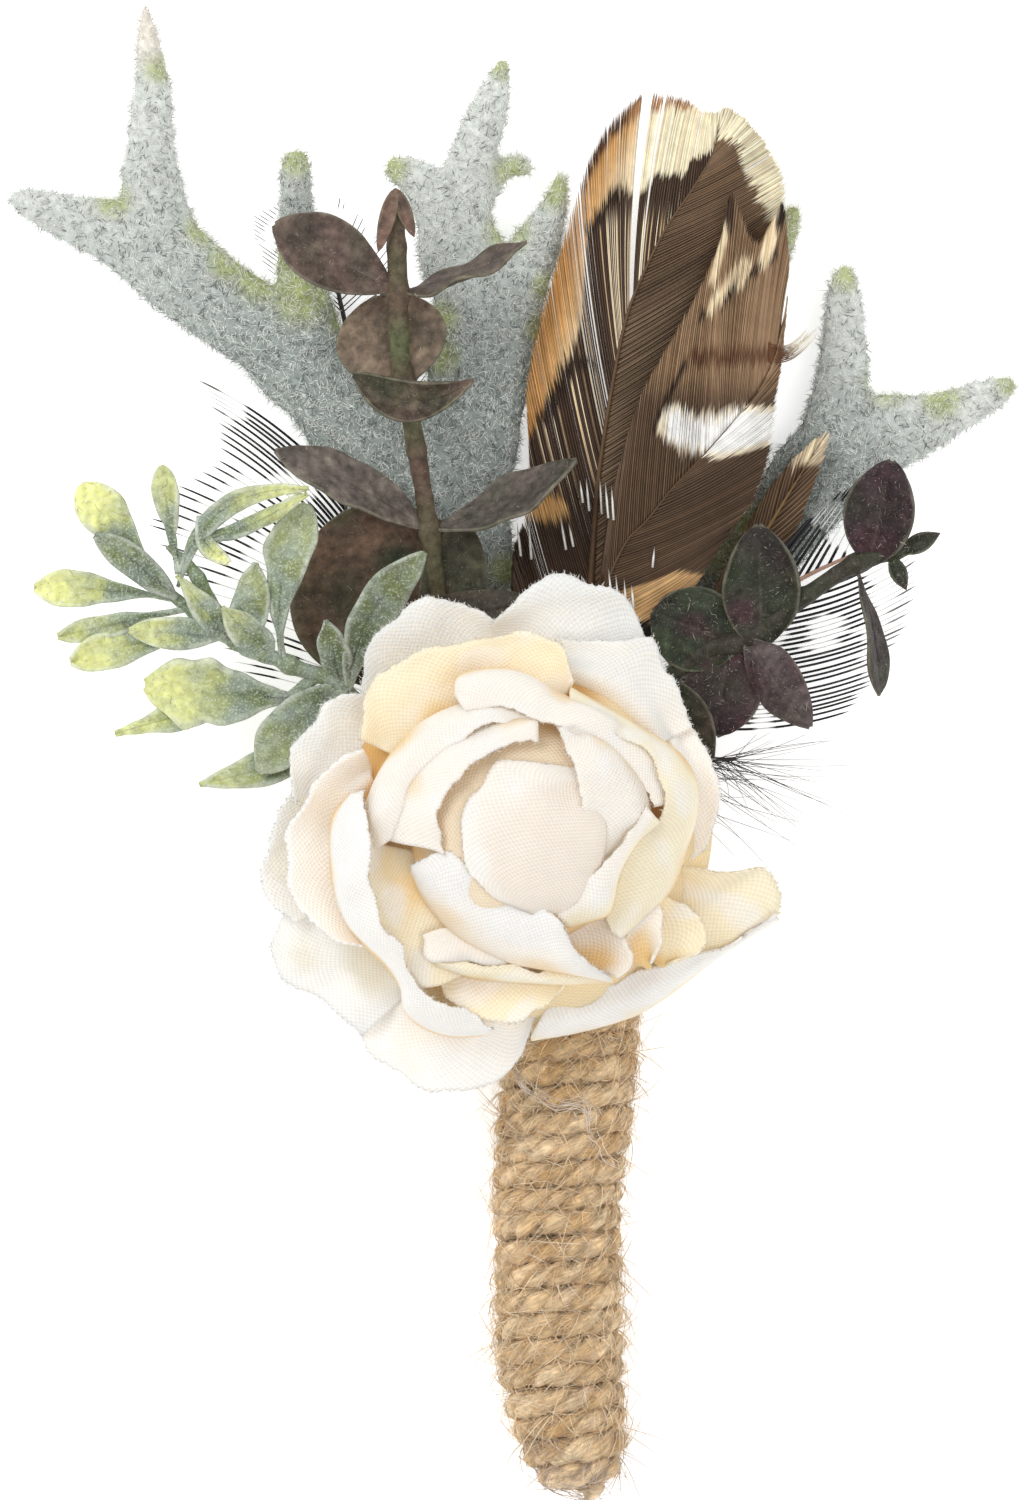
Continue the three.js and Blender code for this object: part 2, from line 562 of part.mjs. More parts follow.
/** A petal: a piece of a cup turned about the bud's axis, its lip rolled outward and its corners rounded. */
function petal([from, to, standing, lip, lipHeight]) {
  const middle = THREE.MathUtils.degToRad((from + to) / 2);
  const half = THREE.MathUtils.degToRad((to - from) / 2);
  const foot = CALYX_TOP + 1.4 + Math.max(0, lipHeight - 20) * 0.28;
  const profile = new THREE.CubicBezierCurve(
    new THREE.Vector2(4.2, foot),
    new THREE.Vector2(standing * 0.82, foot + 0.2),
    new THREE.Vector2(standing, lipHeight + 1.6),
    new THREE.Vector2(lip, lipHeight),
  );
  const surface = (u, v) => {
    const rounded = inside(v) * (1 - 0.22 * u ** 4);
    const { x: radius, y: height } = profile.getPoint(rounded);
    const angle = middle + half * u * (1 - 0.1 * v * v);
    return point(BLOOM_X + radius * Math.cos(angle), BLOOM_Y + radius * Math.sin(angle), height);
  };
  return blade(surface, 4, lipHeight > 26 ? 4 : 3, BLADE);
}

/** A solid of revolution round the bloom's axis, from its outline of [radius, height] points. */
function turned(outline, sides) {
  const lathe = new THREE.LatheGeometry(outline.map(([r, z]) => new THREE.Vector2(r, z)), sides);
  lathe.rotateX(Math.PI / 2);
  lathe.translate(BLOOM_X, BLOOM_Y, 0);
  return solidOfGeometry(lathe);
}

/** The closed bud, on a solid heart hidden in the petals that every petal is rooted in. */
function heart() {
  const bottom = CALYX_TOP + SEAT_GAP;
  const dome = [0, 1, 2, 3, 4].map((i) => {
    const a = (Math.PI * i) / 8;
    return [i < 4 ? BUD_RADIUS * Math.cos(a) : 0, BUD_TOP - BUD_RADIUS * (1 - Math.sin(a))];
  });
  return turned([[0, bottom], [4.6, bottom], [BUD_RADIUS, 17], [BUD_RADIUS + 0.4, 26], ...dome], 12);
}

const bloom = () => join([heart(), ...PETALS.map(petal)]);

/** The bloom's plastic cup with five sepals, and the wire stem that bends down from it to the neck. */
function calyx() {
  const cup = [[0, 9.6], [1.6, 9.7], [2.8, 11.0], [4.4, 12.6], [4.8, CALYX_TOP], [0, CALYX_TOP]];
  const sepals = Array.from({ length: 5 }, (_, i) => {
    const a = (2 * Math.PI * (i + 0.3)) / 5;
    const out = (r, z) => [BLOOM_X + r * Math.cos(a), BLOOM_Y + r * Math.sin(a), z];
    return pointed(out(2.5, 12.6), out(10, 13.0), 4, { cup: 0, bend: 0 });
  });
  const wire = stem(
    rooted(SLOTS.bloom, [4.8, -13.0, 9.5], [2.6, -9.8, 9.7], [BLOOM_X, BLOOM_Y, 10.8]),
    [1.0, 1.0],
    6,
    2,
  );
  return join([turned(cup, 10), wire, ...sepals]);
}

// ---- the handle ----
/** The handle's x or radius at a height, in straight lines between its rows. */
function handleAt(y, key) {
  const i = Math.max(1, HANDLE.findIndex((row) => row.y <= y));
  const [high, low] = [HANDLE[i - 1], HANDLE[i]];
  return low[key] + ((high[key] - low[key]) * (y - low.y)) / (high.y - low.y);
}

/** Its axis lies so that the twine is pressed on the table, and keeps its height over the rounded end. */
function handleAxis(y) {
  return point(handleAt(y, "x"), y, handleAt(Math.max(y, ROUNDED_Y), "radius") - PRESSED);
}

/** The taped stems: a core along the handle with a flared neck, and a plain hole round each stem. */
function tapedCore() {
  const outline = [
    [-66, 0.8], [-65, 1.7], [-62, 2.5], [-55, 3.1], [-49.5, 2.9], [-40.5, 3.1], [-31.5, 3.6],
    [-21.6, 3.7], [-20.5, NECK_RADIUS], [NECK_Y, NECK_RADIUS],
  ];
  const sides = 12;
  const rings = outline.map(([y, radius]) => {
    const centre = handleAxis(y);
    return Array.from({ length: sides }, (_, k) => {
      const a = (-2 * Math.PI * k) / sides;
      return point(centre.x + radius * Math.cos(a), y, centre.z + radius * Math.sin(a));
    });
  });
  const holes = Object.values(SLOTS).map(([x, z, radius]) => {
    const ends = [point(x, STEM_END_Y - HOLE_GAP, z), point(x, NECK_Y + 2, z)];
    return tube(ends, () => (radius + HOLE_GAP) / Math.cos(Math.PI / 6), 6);
  });
  return closeRings(rings).subtract(join(holes));
}

/** The jute twine: one length wound down the handle and in over its rounded end. */
function twine() {
  const path = [];
  const stride = 0.05;
  let walked = 0;
  let before = handleAt(TWINE_TOP_Y, "radius");
  for (let y = TWINE_TOP_Y; y > TWINE_END_Y; y -= stride) {
    const radius = handleAt(y, "radius");
    walked += Math.hypot(stride, radius - before);
    before = radius;
    if (walked >= (path.length * TWINE_PITCH) / STEPS_PER_TURN) {
      const turn = (2 * Math.PI * path.length) / STEPS_PER_TURN;
      const reach = Math.max(1.3, radius - TWINE_RADIUS);
      path.push(handleAxis(y).add(point(reach * Math.cos(turn), 0, reach * Math.sin(turn))));
    }
  }
  return tube(path, () => TWINE_RADIUS, TWINE_SIDES).trimByPlane([0, 0, 1], 0);
}

const boutonniere = new THREE.Group();
boutonniere.add(
  node("bloom_petals", bloom(), fabric),
  node("bloom_calyx", calyx(), floralTape),
  node("antler_leaf_left", antlerLeft(), flocking),
  node("antler_leaf_centre", antlerCentre(), flocking),
  node("antler_leaf_right", antlerRight(), flocking),
  node("eucalyptus_top", eucalyptusTop(), purpleLeaf),
  node("eucalyptus_right", eucalyptusRight(), purpleLeaf),
  node("leafy_spray", leafySpray(), greenSpray),
  node("pheasant_feather_left", pheasantLeft(), plumage),
  node("pheasant_feather_right", pheasantRight(), plumage),
  node("pheasant_feather_small", pheasantSmall(), plumage),
  node("barred_feather_left", barredLeft(), barredPlumage),
  node("barred_feather_top", barredTop(), barredPlumage),
  node("barred_feather_right", barredRight(), barredPlumage),
  node("down_tuft", downTuft(), barredPlumage),
  node("taped_core", tapedCore(), floralTape),
  node("jute_twine", twine(), jute),
);

export default boutonniere;
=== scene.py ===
"""The looks of a rustic lapel boutonniere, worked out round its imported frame.

Shapes are worked out in millimetres, in the frame's own axes, and turned to metres as each mesh is made.
The spray lies on its back: +Y runs from the twine-wound handle to the leaf tips, and +Z is up.
"""
import math

import bpy
import numpy as np
from bpy.props import FloatProperty, FloatVectorProperty, IntProperty, PointerProperty
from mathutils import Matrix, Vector


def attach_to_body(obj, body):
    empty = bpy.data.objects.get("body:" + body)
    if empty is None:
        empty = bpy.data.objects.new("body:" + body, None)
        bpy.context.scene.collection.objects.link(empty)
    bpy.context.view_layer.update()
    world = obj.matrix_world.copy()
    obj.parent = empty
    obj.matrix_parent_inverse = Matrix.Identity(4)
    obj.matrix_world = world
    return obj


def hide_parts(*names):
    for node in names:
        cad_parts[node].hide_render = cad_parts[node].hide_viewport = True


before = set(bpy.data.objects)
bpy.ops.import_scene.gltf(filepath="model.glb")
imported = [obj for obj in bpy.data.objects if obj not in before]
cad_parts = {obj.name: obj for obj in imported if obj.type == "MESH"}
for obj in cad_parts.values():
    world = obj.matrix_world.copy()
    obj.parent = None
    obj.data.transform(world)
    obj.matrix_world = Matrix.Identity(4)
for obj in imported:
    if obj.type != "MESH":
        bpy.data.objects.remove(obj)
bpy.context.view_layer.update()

bl_info = {
    "name": "Boutonniere",
    "version": (1, 0, 0),
    "blender": (4, 5, 0),
    "location": "View3D > Sidebar > Boutonniere",
    "description": "A lapel spray of a cloth bloom, flocked leaves, sprigs and feathers with a twine handle",
    "category": "Add Mesh",
}

MM = 0.001
UP = np.array([0.0, 0.0, 1.0])
TURN = 2 * math.pi


# ---- numbers and colours ----
def srgb(code):
    """The linear red, green and blue of an sRGB hex code."""
    value = np.array([int(code[i:i + 2], 16) for i in (1, 3, 5)]) / 255
    return np.where(value <= 0.04045, value / 12.92, ((value + 0.055) / 1.055) ** 2.4)


def mix(a, b, share):
    """The colour, or colours, that lie a share of the way from a to b."""
    share = np.clip(np.asarray(share, float), 0, 1)[..., None]
    return a * (1 - share) + b * share


def step(low, high, value):
    """0 below low, 1 above high, and the smooth cubic 3t^2 - 2t^3 between them. With low the greater of the
    two it falls from 1 to 0 instead."""
    t = np.clip((np.asarray(value, float) - low) / (high - low), 0, 1)
    return t * t * (3 - 2 * t)


def unit(vectors):
    """Each vector divided by its length."""
    return vectors / np.maximum(np.linalg.norm(vectors, axis=-1, keepdims=True), 1e-9)


def ripple(points, size, seed, waves=8):
    """A smooth random value near -1 to 1 at each point: a sum of sines of random direction and phase,
    each about size mm from crest to crest."""
    rng = np.random.default_rng(seed)
    reach = unit(rng.normal(size=(waves, 3))).T * TURN / (size * rng.uniform(0.7, 1.5, waves))
    return np.sin(points @ reach + rng.uniform(0, TURN, waves)).sum(-1) / waves ** 0.5


def spline(points, count):
    """count places, as many to each span, on the Catmull-Rom curve through numbers, points or rows of
    points: on each span a cubic whose slope at each end is half the chord between that end's neighbours."""
    p = np.asarray(points, float)
    p = np.concatenate([2 * p[:1] - p[1:2], p, 2 * p[-1:] - p[-2:-1]])
    t = np.linspace(0, len(points) - 1, count)
    i = np.minimum(t.astype(int), len(points) - 2)
    f = (t - i).reshape((-1,) + (1,) * (p.ndim - 1))
    a, b, c, d = p[i], p[i + 1], p[i + 2], p[i + 3]
    return b + 0.5 * f * ((c - a) + f * ((2 * a - 5 * b + 4 * c - d) + f * (3 * (b - c) + d - a)))


def summed(steps):
    """The running total of steps, from 0."""
    return np.concatenate([[0], np.cumsum(steps)])


def length_along(line):
    """How far along a line of points each of them lies."""
    return summed(np.linalg.norm(np.diff(line, axis=0), axis=1))


def even(points, count):
    """count points evenly spaced by length along the spline through points."""
    fine = spline(points, 40 * len(points))
    gone = length_along(fine)
    at = np.linspace(0, gone[-1], count)
    return np.stack([np.interp(at, gone, fine[:, k]) for k in range(fine.shape[1])], 1)


def carried(path, up=UP):
    """Unit side and top vectors along a path: side is its tangent x up, and top is side x tangent."""
    tangent = unit(np.gradient(path, axis=-2))
    side = unit(np.cross(tangent, up))
    return side, np.cross(side, tangent)


def normals(surface):
    """Unit normals of a grid of points: across x along."""
    return unit(np.cross(np.gradient(surface, axis=1), np.gradient(surface, axis=0)))


def nearness(points, spots):
    """How close each point is, seen from above, to the nearest of some x, y, radius spots: 1 within 0.35 of
    its radius and 0 beyond 1.25 of it."""
    if not spots:
        return np.zeros(len(points))
    spots = np.array(spots)
    apart = np.linalg.norm(points[:, None, :2] - spots[None, :, :2], axis=2) / spots[None, :, 2]
    return 1 - step(0.35, 1.25, apart.min(1))


# ---- meshes ----
class Pile:
    """Points and faces gathered into one mesh, each point with a tint (linear colour) and a weave, its place
    on the material: mm across and along a cloth, the share round and mm along a tube, or a strand's number
    and the share along it."""

    def __init__(self):
        self.points, self.quads, self.triangles, self.tints, self.weaves = [], [], [], [], []
        self.count = 0

    def add(self, points, quads=(), triangles=(), tint=(1, 1, 1), weave=(0, 0, 0)):
        """Adds points and their faces; tint and weave are one value for all, or one for each point."""
        points = np.asarray(points, float).reshape(-1, 3)
        self.points.append(points)
        self.quads.append(np.asarray(quads, int).reshape(-1, 4) + self.count)
        self.triangles.append(np.asarray(triangles, int).reshape(-1, 3) + self.count)
        for marks, mark in ((self.tints, tint), (self.weaves, weave)):
            mark = np.asarray(mark, float).reshape(-1, 3)
            marks.append(np.broadcast_to(mark, points.shape))
        self.count += len(points)

    def build(self, name, material):
        """The mesh object of everything gathered, at the origin, smooth, with its attributes."""
        points = np.concatenate(self.points) * MM
        quads, triangles = np.concatenate(self.quads), np.concatenate(self.triangles)
        mesh = bpy.data.meshes.new(name)
        mesh.vertices.add(len(points))
        mesh.vertices.foreach_set("co", points.astype(np.float32).ravel())
        corners = np.concatenate([quads.ravel(), triangles.ravel()])
        starts = np.concatenate([4 * np.arange(len(quads)), 4 * len(quads) + 3 * np.arange(len(triangles))])
        mesh.loops.add(len(corners))
        mesh.loops.foreach_set("vertex_index", corners)
        mesh.polygons.add(len(starts))
        mesh.polygons.foreach_set("loop_start", starts)
        mesh.polygons.foreach_set("use_smooth", np.ones(len(starts), bool))
        tints = np.concatenate(self.tints)
        tints = np.concatenate([tints, np.ones((len(tints), 1))], axis=1)
        mesh.attributes.new("tint", "FLOAT_COLOR", "POINT").data.foreach_set("color", tints.ravel())
        weaves = np.concatenate(self.weaves)
        mesh.attributes.new("weave", "FLOAT_VECTOR", "POINT").data.foreach_set("vector", weaves.ravel())
        mesh.update(calc_edges=True)
        mesh.validate()
        mesh.materials.append(material)
        made = bpy.data.objects.new(name, mesh)
        bpy.context.scene.collection.objects.link(made)
        return made


def grid_quads(rows, columns, closed=False):
    """The quads of a grid of points; closed joins its last column to its first."""
    i = np.arange(rows - 1)[:, None] * columns
    j = np.arange(columns if closed else columns - 1)[None]
    k = (j + 1) % columns
    return np.stack([i + j, i + k, i + columns + k, i + columns + j], -1).reshape(-1, 4)


def sheet(pile, surface, thickness, tint, weave=(0, 0, 0)):
    """A closed sheet: the surface moved by half the thickness, one for all or one for each point, each way
    along its normals, and the two joined round the rim. Both sides take the same tint and weave."""
    half = normals(surface) * np.asarray(thickness)[..., None] / 2
    rows, columns, _ = surface.shape
    count = rows * columns
    front = grid_quads(rows, columns)
    number = np.arange(count).reshape(rows, columns)
    loop = np.concatenate([number[0, :-1], number[:-1, -1], number[-1, :0:-1], number[:0:-1, 0]])
    ahead = np.roll(loop, -1)
    rim = np.stack([ahead, loop, loop + count, ahead + count], -1)
    quads = np.concatenate([front, front[:, ::-1] + count, rim])
    tint = np.broadcast_to(tint, surface.shape).reshape(-1, 3)
    weave = np.broadcast_to(weave, surface.shape).reshape(-1, 3)
    points = np.concatenate([(surface + half).reshape(-1, 3), (surface - half).reshape(-1, 3)])
    pile.add(points, quads, tint=np.tile(tint, (2, 1)), weave=np.tile(weave, (2, 1)))


def tints_for(tint, shape):
    """Tints for rows of points: tint is one colour for all, one for each row, or one for each point."""
    tint = np.asarray(tint)
    return np.broadcast_to(tint[:, None] if tint.ndim == 2 else tint, shape)


def tube(pile, path, width, height, sides, tint, up=UP, ring=None):
    """A closed tube: path + width cos(a) side - height sin(a) top, for a round each ring, with fans over
    its ends. ring, if given, multiplies each ring's radius at each a."""
    side, top = carried(path, up)
    a = TURN * np.arange(sides) / sides
    spokes = (
        np.asarray(width, float).reshape(-1, 1, 1) * np.cos(a)[None, :, None] * side[:, None]
        - np.asarray(height, float).reshape(-1, 1, 1) * np.sin(a)[None, :, None] * top[:, None]
    )
    if ring is not None:
        spokes = spokes * ring[..., None]
    points = path[:, None] + spokes
    rows = len(path)
    count = rows * sides
    j = np.arange(sides)
    k = (j + 1) % sides
    last = count - sides
    first_fan = np.stack([np.full(sides, count), k, j], -1)
    last_fan = np.stack([np.full(sides, count + 1), last + j, last + k], -1)
    weave = np.zeros(points.shape)
    weave[..., 0] = j / sides
    weave[..., 1] = length_along(path)[:, None]
    tint = tints_for(tint, points.shape)
    pile.add(
        np.concatenate([points.reshape(-1, 3), path[[0, -1]]]),
        grid_quads(rows, sides, closed=True),
        np.concatenate([first_fan, last_fan]),
        np.concatenate([tint.reshape(-1, 3), tint[0, :1], tint[-1, :1]]),
        np.concatenate([weave.reshape(-1, 3), weave[0, :1], weave[-1, :1]]),
    )


def strands(pile, lines, width, tint, up=UP, height=1.0):
    """Many fibres, hairs or barbs at once. Each line of points becomes a three-sided strand, its corners at
    + and - width to the side and at height times width above, which ends in a point."""
    count, steps, _ = lines.shape
    side, top = carried(lines, up)
    width = np.broadcast_to(width, (count, steps))[..., None]
    rings = np.stack([lines + width * side, lines - width * side, lines + width * height * top], 2)
    points = np.concatenate([rings[:, :-1].reshape(count, -1, 3), lines[:, -1:]], axis=1)
    last, tip = 3 * (steps - 2), 3 * (steps - 1)
    start = (np.arange(count) * (tip + 1))[:, None, None]
    quads = grid_quads(steps - 1, 3, closed=True)[None] + start
    ends = np.array([[last, last + 1, tip], [last + 1, last + 2, tip], [last + 2, last, tip], [0, 2, 1]])
    weave = np.zeros(lines.shape)
    weave[..., 0] = np.arange(count)[:, None]
    weave[..., 1] = np.linspace(0, 1, steps)
    tints, weaves = (
        np.concatenate([np.repeat(marks[:, :-1], 3, axis=1), marks[:, -1:]], axis=1)
        for marks in (tints_for(tint, lines.shape), weave))
    pile.add(points, quads, ends[None] + start, tints, weaves)


def attach(piece, slot, *nodes):
    """The piece rides on the part's one body and stands for the nodes, which it hides. The slot is not used.
    """
    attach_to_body(piece, "root")
    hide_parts(*nodes)


# ---- materials ----
def add(tree, kind, inputs=None, **properties):
    """Adds one node, sets its properties, and links or sets its inputs."""
    made = tree.nodes.new(kind)
    for key, value in properties.items():
        setattr(made, key, value)
    for key, value in (inputs or {}).items():
        if isinstance(value, bpy.types.NodeSocket):
            tree.links.new(value, made.inputs[key])
        else:
            made.inputs[key].default_value = value
    return made


def shaded(tree, colour, value, ends, shades):
    """The colour times a shade, which goes from the first of shades to the second as value goes from the
    first of ends to the second."""
    shade = add(
        tree, "ShaderNodeMapRange",
        {"Value": value, "From Min": ends[0], "From Max": ends[1], "To Min": shades[0], "To Max": shades[1]})
    scale = {0: colour, "Scale": shade.outputs["Result"]}
    return add(tree, "ShaderNodeVectorMath", scale, operation="SCALE").outputs["Vector"]


def tinted(name, roughness, speckle, size, bump, bump_size, **sockets):
    """A material whose colour is the tint attribute, darkened and lightened by speckle over noise of size
    mm, with a bump of bump mm over noise of bump_size mm. Returns it with its nodes for more to be added."""
    material = bpy.data.materials.new(name)
    material.use_nodes = True
    tree = material.node_tree
    tree.nodes.clear()
    coords = add(tree, "ShaderNodeTexCoord").outputs["Object"]
    tint = add(tree, "ShaderNodeAttribute", attribute_name="tint").outputs["Color"]
    spots = add(tree, "ShaderNodeTexNoise", {"Vector": coords, "Scale": 1 / (size * MM), "Detail": 4.0})
    colour = shaded(tree, tint, spots.outputs["Fac"], (0.3, 0.7), (1 - speckle, 1 + speckle))
    grain = add(tree, "ShaderNodeTexNoise", {"Vector": coords, "Scale": 1 / (bump_size * MM), "Detail": 3.0})
    relief = add(
        tree, "ShaderNodeBump", {"Height": grain.outputs["Fac"], "Distance": bump * MM, "Strength": 1.0})
    shader = add(
        tree, "ShaderNodeBsdfPrincipled",
        {"Base Color": colour, "Normal": relief.outputs["Normal"], "Roughness": roughness, **sockets})
    add(tree, "ShaderNodeOutputMaterial", {"Surface": shader.outputs["BSDF"]})
    return material, tree, {"colour": colour, "relief": relief, "shader": shader, "coords": coords}


def woven_cotton(thread):
    """Cream cotton petals, plain weave, stiffened and pressed: matt, soft at the edges, and the threads show
    as fine dots. A faint warm glow stands in for the light that comes through petal after petal."""
    material, tree, made = tinted(
        "woven_cotton", roughness=0.9, speckle=0.025, size=2.5, bump=0.05, bump_size=1.2,
        **{"Subsurface Weight": 0.3, "Subsurface Radius": (1.0, 0.8, 0.6), "Subsurface Scale": 1.6 * MM,
           "Sheen Weight": 0.1, "Emission Color": (*srgb("#ffdfb5"), 1.0), "Emission Strength": 0.045})
    weave = add(tree, "ShaderNodeAttribute", attribute_name="weave").outputs["Vector"]
    parts = add(tree, "ShaderNodeSeparateXYZ", {"Vector": weave})
    waves = []
    for axis in ("X", "Y"):
        phase = add(
            tree, "ShaderNodeMath", {0: parts.outputs[axis], 1: math.pi / thread}, operation="MULTIPLY")
        waves.append(add(tree, "ShaderNodeMath", {0: phase.outputs[0]}, operation="SINE").outputs[0])
    dots = add(tree, "ShaderNodeMath", {0: waves[0], 1: waves[1]}, operation="MULTIPLY")
    colour = shaded(tree, made["colour"], dots.outputs[0], (-1.0, 1.0), (0.85, 1.03))
    tree.links.new(colour, made["shader"].inputs["Base Color"])
    relief = add(
        tree, "ShaderNodeBump",
        {"Height": dots.outputs[0], "Distance": 0.03 * MM, "Strength": 1.0,
         "Normal": made["relief"].outputs["Normal"]})
    tree.links.new(relief.outputs["Normal"], made["shader"].inputs["Normal"])
    return material


def flocked_plastic():
    """Soft plastic under short nylon flock: the skin is dull and only its colour shows between fibres."""
    return tinted("flocked_plastic", roughness=1.0, speckle=0.18, size=0.7, bump=0.15, bump_size=0.5)[0]


def flock_fibre():
    """Nylon flock, a soft silvery down of short straight fibres."""
    return tinted(
        "flock_fibre", roughness=0.75, speckle=0.06, size=3.0, bump=0.0, bump_size=1.0,
        **{"Sheen Weight": 0.3})[0]


def dusted(name, roughness, speckle, bump, size, start, cover, code):
    """A tinted material with a dust of another colour where noise of size mm is above start, which hides
    up to the share cover of the tint."""
    material, tree, made = tinted(
        name, roughness, speckle, size=0.8, bump=bump, bump_size=0.45, **{"Specular IOR Level": 0.2})
    dust = add(
        tree, "ShaderNodeTexNoise", {"Vector": made["coords"], "Scale": 1 / (size * MM), "Detail": 6.0})
    amount = add(
        tree, "ShaderNodeMapRange",
        {"Value": dust.outputs["Fac"], "From Min": start, "From Max": start + 0.12,
         "To Min": 0.0, "To Max": cover})
    colour = add(
        tree, "ShaderNodeMix",
        {"Factor": amount.outputs["Result"], "A": made["colour"], "B": (*srgb(code), 1.0)},
        data_type="RGBA")
    tree.links.new(colour.outputs["Result"], made["shader"].inputs["Base Color"])
    return material


def printed_cloth_leaf():
    """Leaves of coated polyester cloth, heat-pressed: a low sheen, and fine pale specks like dust."""
    return dusted(
        "printed_cloth_leaf", roughness=0.5, speckle=0.4, bump=0.12, size=0.22, start=0.6, cover=0.3,
        code="#a9a595")


def frosted_plastic():
    """Moulded polythene foliage, dusted with pale flock: matt and mottled, whiter where the dust holds."""
    return dusted(
        "frosted_plastic", roughness=0.85, speckle=0.2, bump=0.2, size=0.2, start=0.52, cover=0.45,
        code="#dbe2d9")


def feather_keratin():
    """Feather barbs: keratin with a soft satin gloss along them."""
    return tinted(
        "feather_keratin", roughness=0.42, speckle=0.1, size=1.2, bump=0.0, bump_size=1.0,
        **{"Specular IOR Level": 0.22})[0]


def jute_fibre():
    """Raw jute, three plies spun from coarse fibre: matt golden tan, streaked along each ply."""
    material, tree, made = tinted(
        "jute_fibre", roughness=0.9, speckle=0.2, size=1.1, bump=0.0, bump_size=1.0, **{"Sheen Weight": 0.2})
    weave = add(tree, "ShaderNodeAttribute", attribute_name="weave").outputs["Vector"]
    stretch = add(tree, "ShaderNodeVectorMath", {0: weave, 1: (22.0, 0.9, 1.0)}, operation="MULTIPLY")
    streaks = add(
        tree, "ShaderNodeTexNoise", {"Vector": stretch.outputs["Vector"], "Scale": 1.0, "Detail": 5.0})
    colour = shaded(tree, made["colour"], streaks.outputs["Fac"], (0.3, 0.7), (0.62, 1.25))
    tree.links.new(colour, made["shader"].inputs["Base Color"])
    relief = add(
        tree, "ShaderNodeBump", {"Height": streaks.outputs["Fac"], "Distance": 0.22 * MM, "Strength": 1.0})
    tree.links.new(relief.outputs["Normal"], made["shader"].inputs["Normal"])
    return material


def floral_tape():
    """Stretched paraffin paper tape and soft green plastic: dull, waxy and faintly creased."""
    return tinted("floral_tape", roughness=0.6, speckle=0.12, size=2.0, bump=0.12, bump_size=0.9)[0]


def once(maker, *values):
    """The material a function makes, made on its first use and found by its name after that."""
    return bpy.data.materials.get(maker.__name__) or maker(*values)


# ---- sizes and colours that a user would change ----
def mm_property(name, default, description):
    """A length in millimetres."""
    return FloatProperty(name=name, description=description, default=default, min=0.01, soft_max=50)


def colour_property(name, code, description):
    """A colour whose default is given as an sRGB hex code."""
    return FloatVectorProperty(
        name=name, description=description, default=tuple(srgb(code)), size=3, subtype="COLOR", min=0, max=1)


class BloomSettings(bpy.types.PropertyGroup):
    """Sizes in millimetres and colours of the cloth bloom."""
    cloth: mm_property("Cloth", 0.28, "Thickness of the petal cloth, in mm")
    thread: mm_property("Thread", 0.21, "Spacing of the weave's threads, in mm")
    fray: mm_property("Fray", 0.1, "How far a petal's cut edge wanders, in mm")
    white: colour_property("White", "#faf8f3", "Outer petals")
    cream: colour_property("Cream", "#fdf5e9", "Inner petals")
    yellow: colour_property("Yellow", "#fbeecf", "Petals with a yellow rim")
    # Gold: painted warm shade, for light bounced between the cream petals deep in the bloom.
    gold: colour_property("Gold", "#f0ca8f", "Painted warm shade deep between the petals")


class LeafSettings(bpy.types.PropertyGroup):
    """Sizes in millimetres and colours of the leaves and sprigs."""
    fibre: mm_property("Fibre", 0.95, "Length of the flock fibres, in mm")
    fibre_density: FloatProperty(
        name="Density", description="Flock fibres to a square mm", default=15, min=1, soft_max=60)
    skin: colour_property("Skin", "#88928e", "Flocked leaf between its fibres")
    web: colour_property("Web", "#a3ad68", "Flocked leaf in its forks and at its edges")
    silver: colour_property("Silver", "#f8fbf5", "Flock fibres")
    plum: colour_property("Plum", "#41332f", "Eucalyptus leaves")
    moss: colour_property("Moss", "#343f2b", "Green in the eucalyptus leaves")
    spray_green: colour_property("Spray green", "#76845a", "Leafy spray")
    lime: colour_property("Lime", "#eef09a", "Tips of the leafy spray")


class FeatherSettings(bpy.types.PropertyGroup):
    """Colours of the feathers."""
    brown: colour_property("Brown", "#3f2d20", "Dark bands")
    caramel: colour_property("Caramel", "#d2a468", "Orange bands")
    ivory: colour_property("Ivory", "#f3e6c6", "Cream bands")
    black: colour_property("Black", "#17171a", "Black bars")
    snow: colour_property("Snow", "#f7f6f2", "White bars")


class TwineSettings(bpy.types.PropertyGroup):
    """Sizes in millimetres and colours of the twine."""
    twine: mm_property("Twine", 1.2, "Radius of the twine, in mm")
    pitch: mm_property("Pitch", 2.4, "From one turn to the next, in mm")
    lay: mm_property("Lay", 6.5, "Length of one full twist of the plies, in mm")
    fuzz: IntProperty(name="Fuzz", description="Number of stray fibres", default=6200, min=0, soft_max=20000)
    tan: colour_property("Tan", "#eec78f", "Jute")
    straw: colour_property("Straw", "#f0dfc0", "Palest fibres")


# ---- the bloom ----
BLOOM = np.array([0.8, -7.2, 0.0])  # its axis
BUD_X, BUD_Y = 0.4, -0.4  # the bud's own axis, from the bloom's
BUD_TOP, BUD_RADIUS, BUD_DEPTH = 36.0, 11.0, 9.0
DOME_RADIUS = 10.6
LINING_Z, LINING_RADIUS = 27.6, 18.2
FOOT_Z = 14.8  # the lowest that a petal is rooted, just above the calyx
PETAL_ROWS = 30
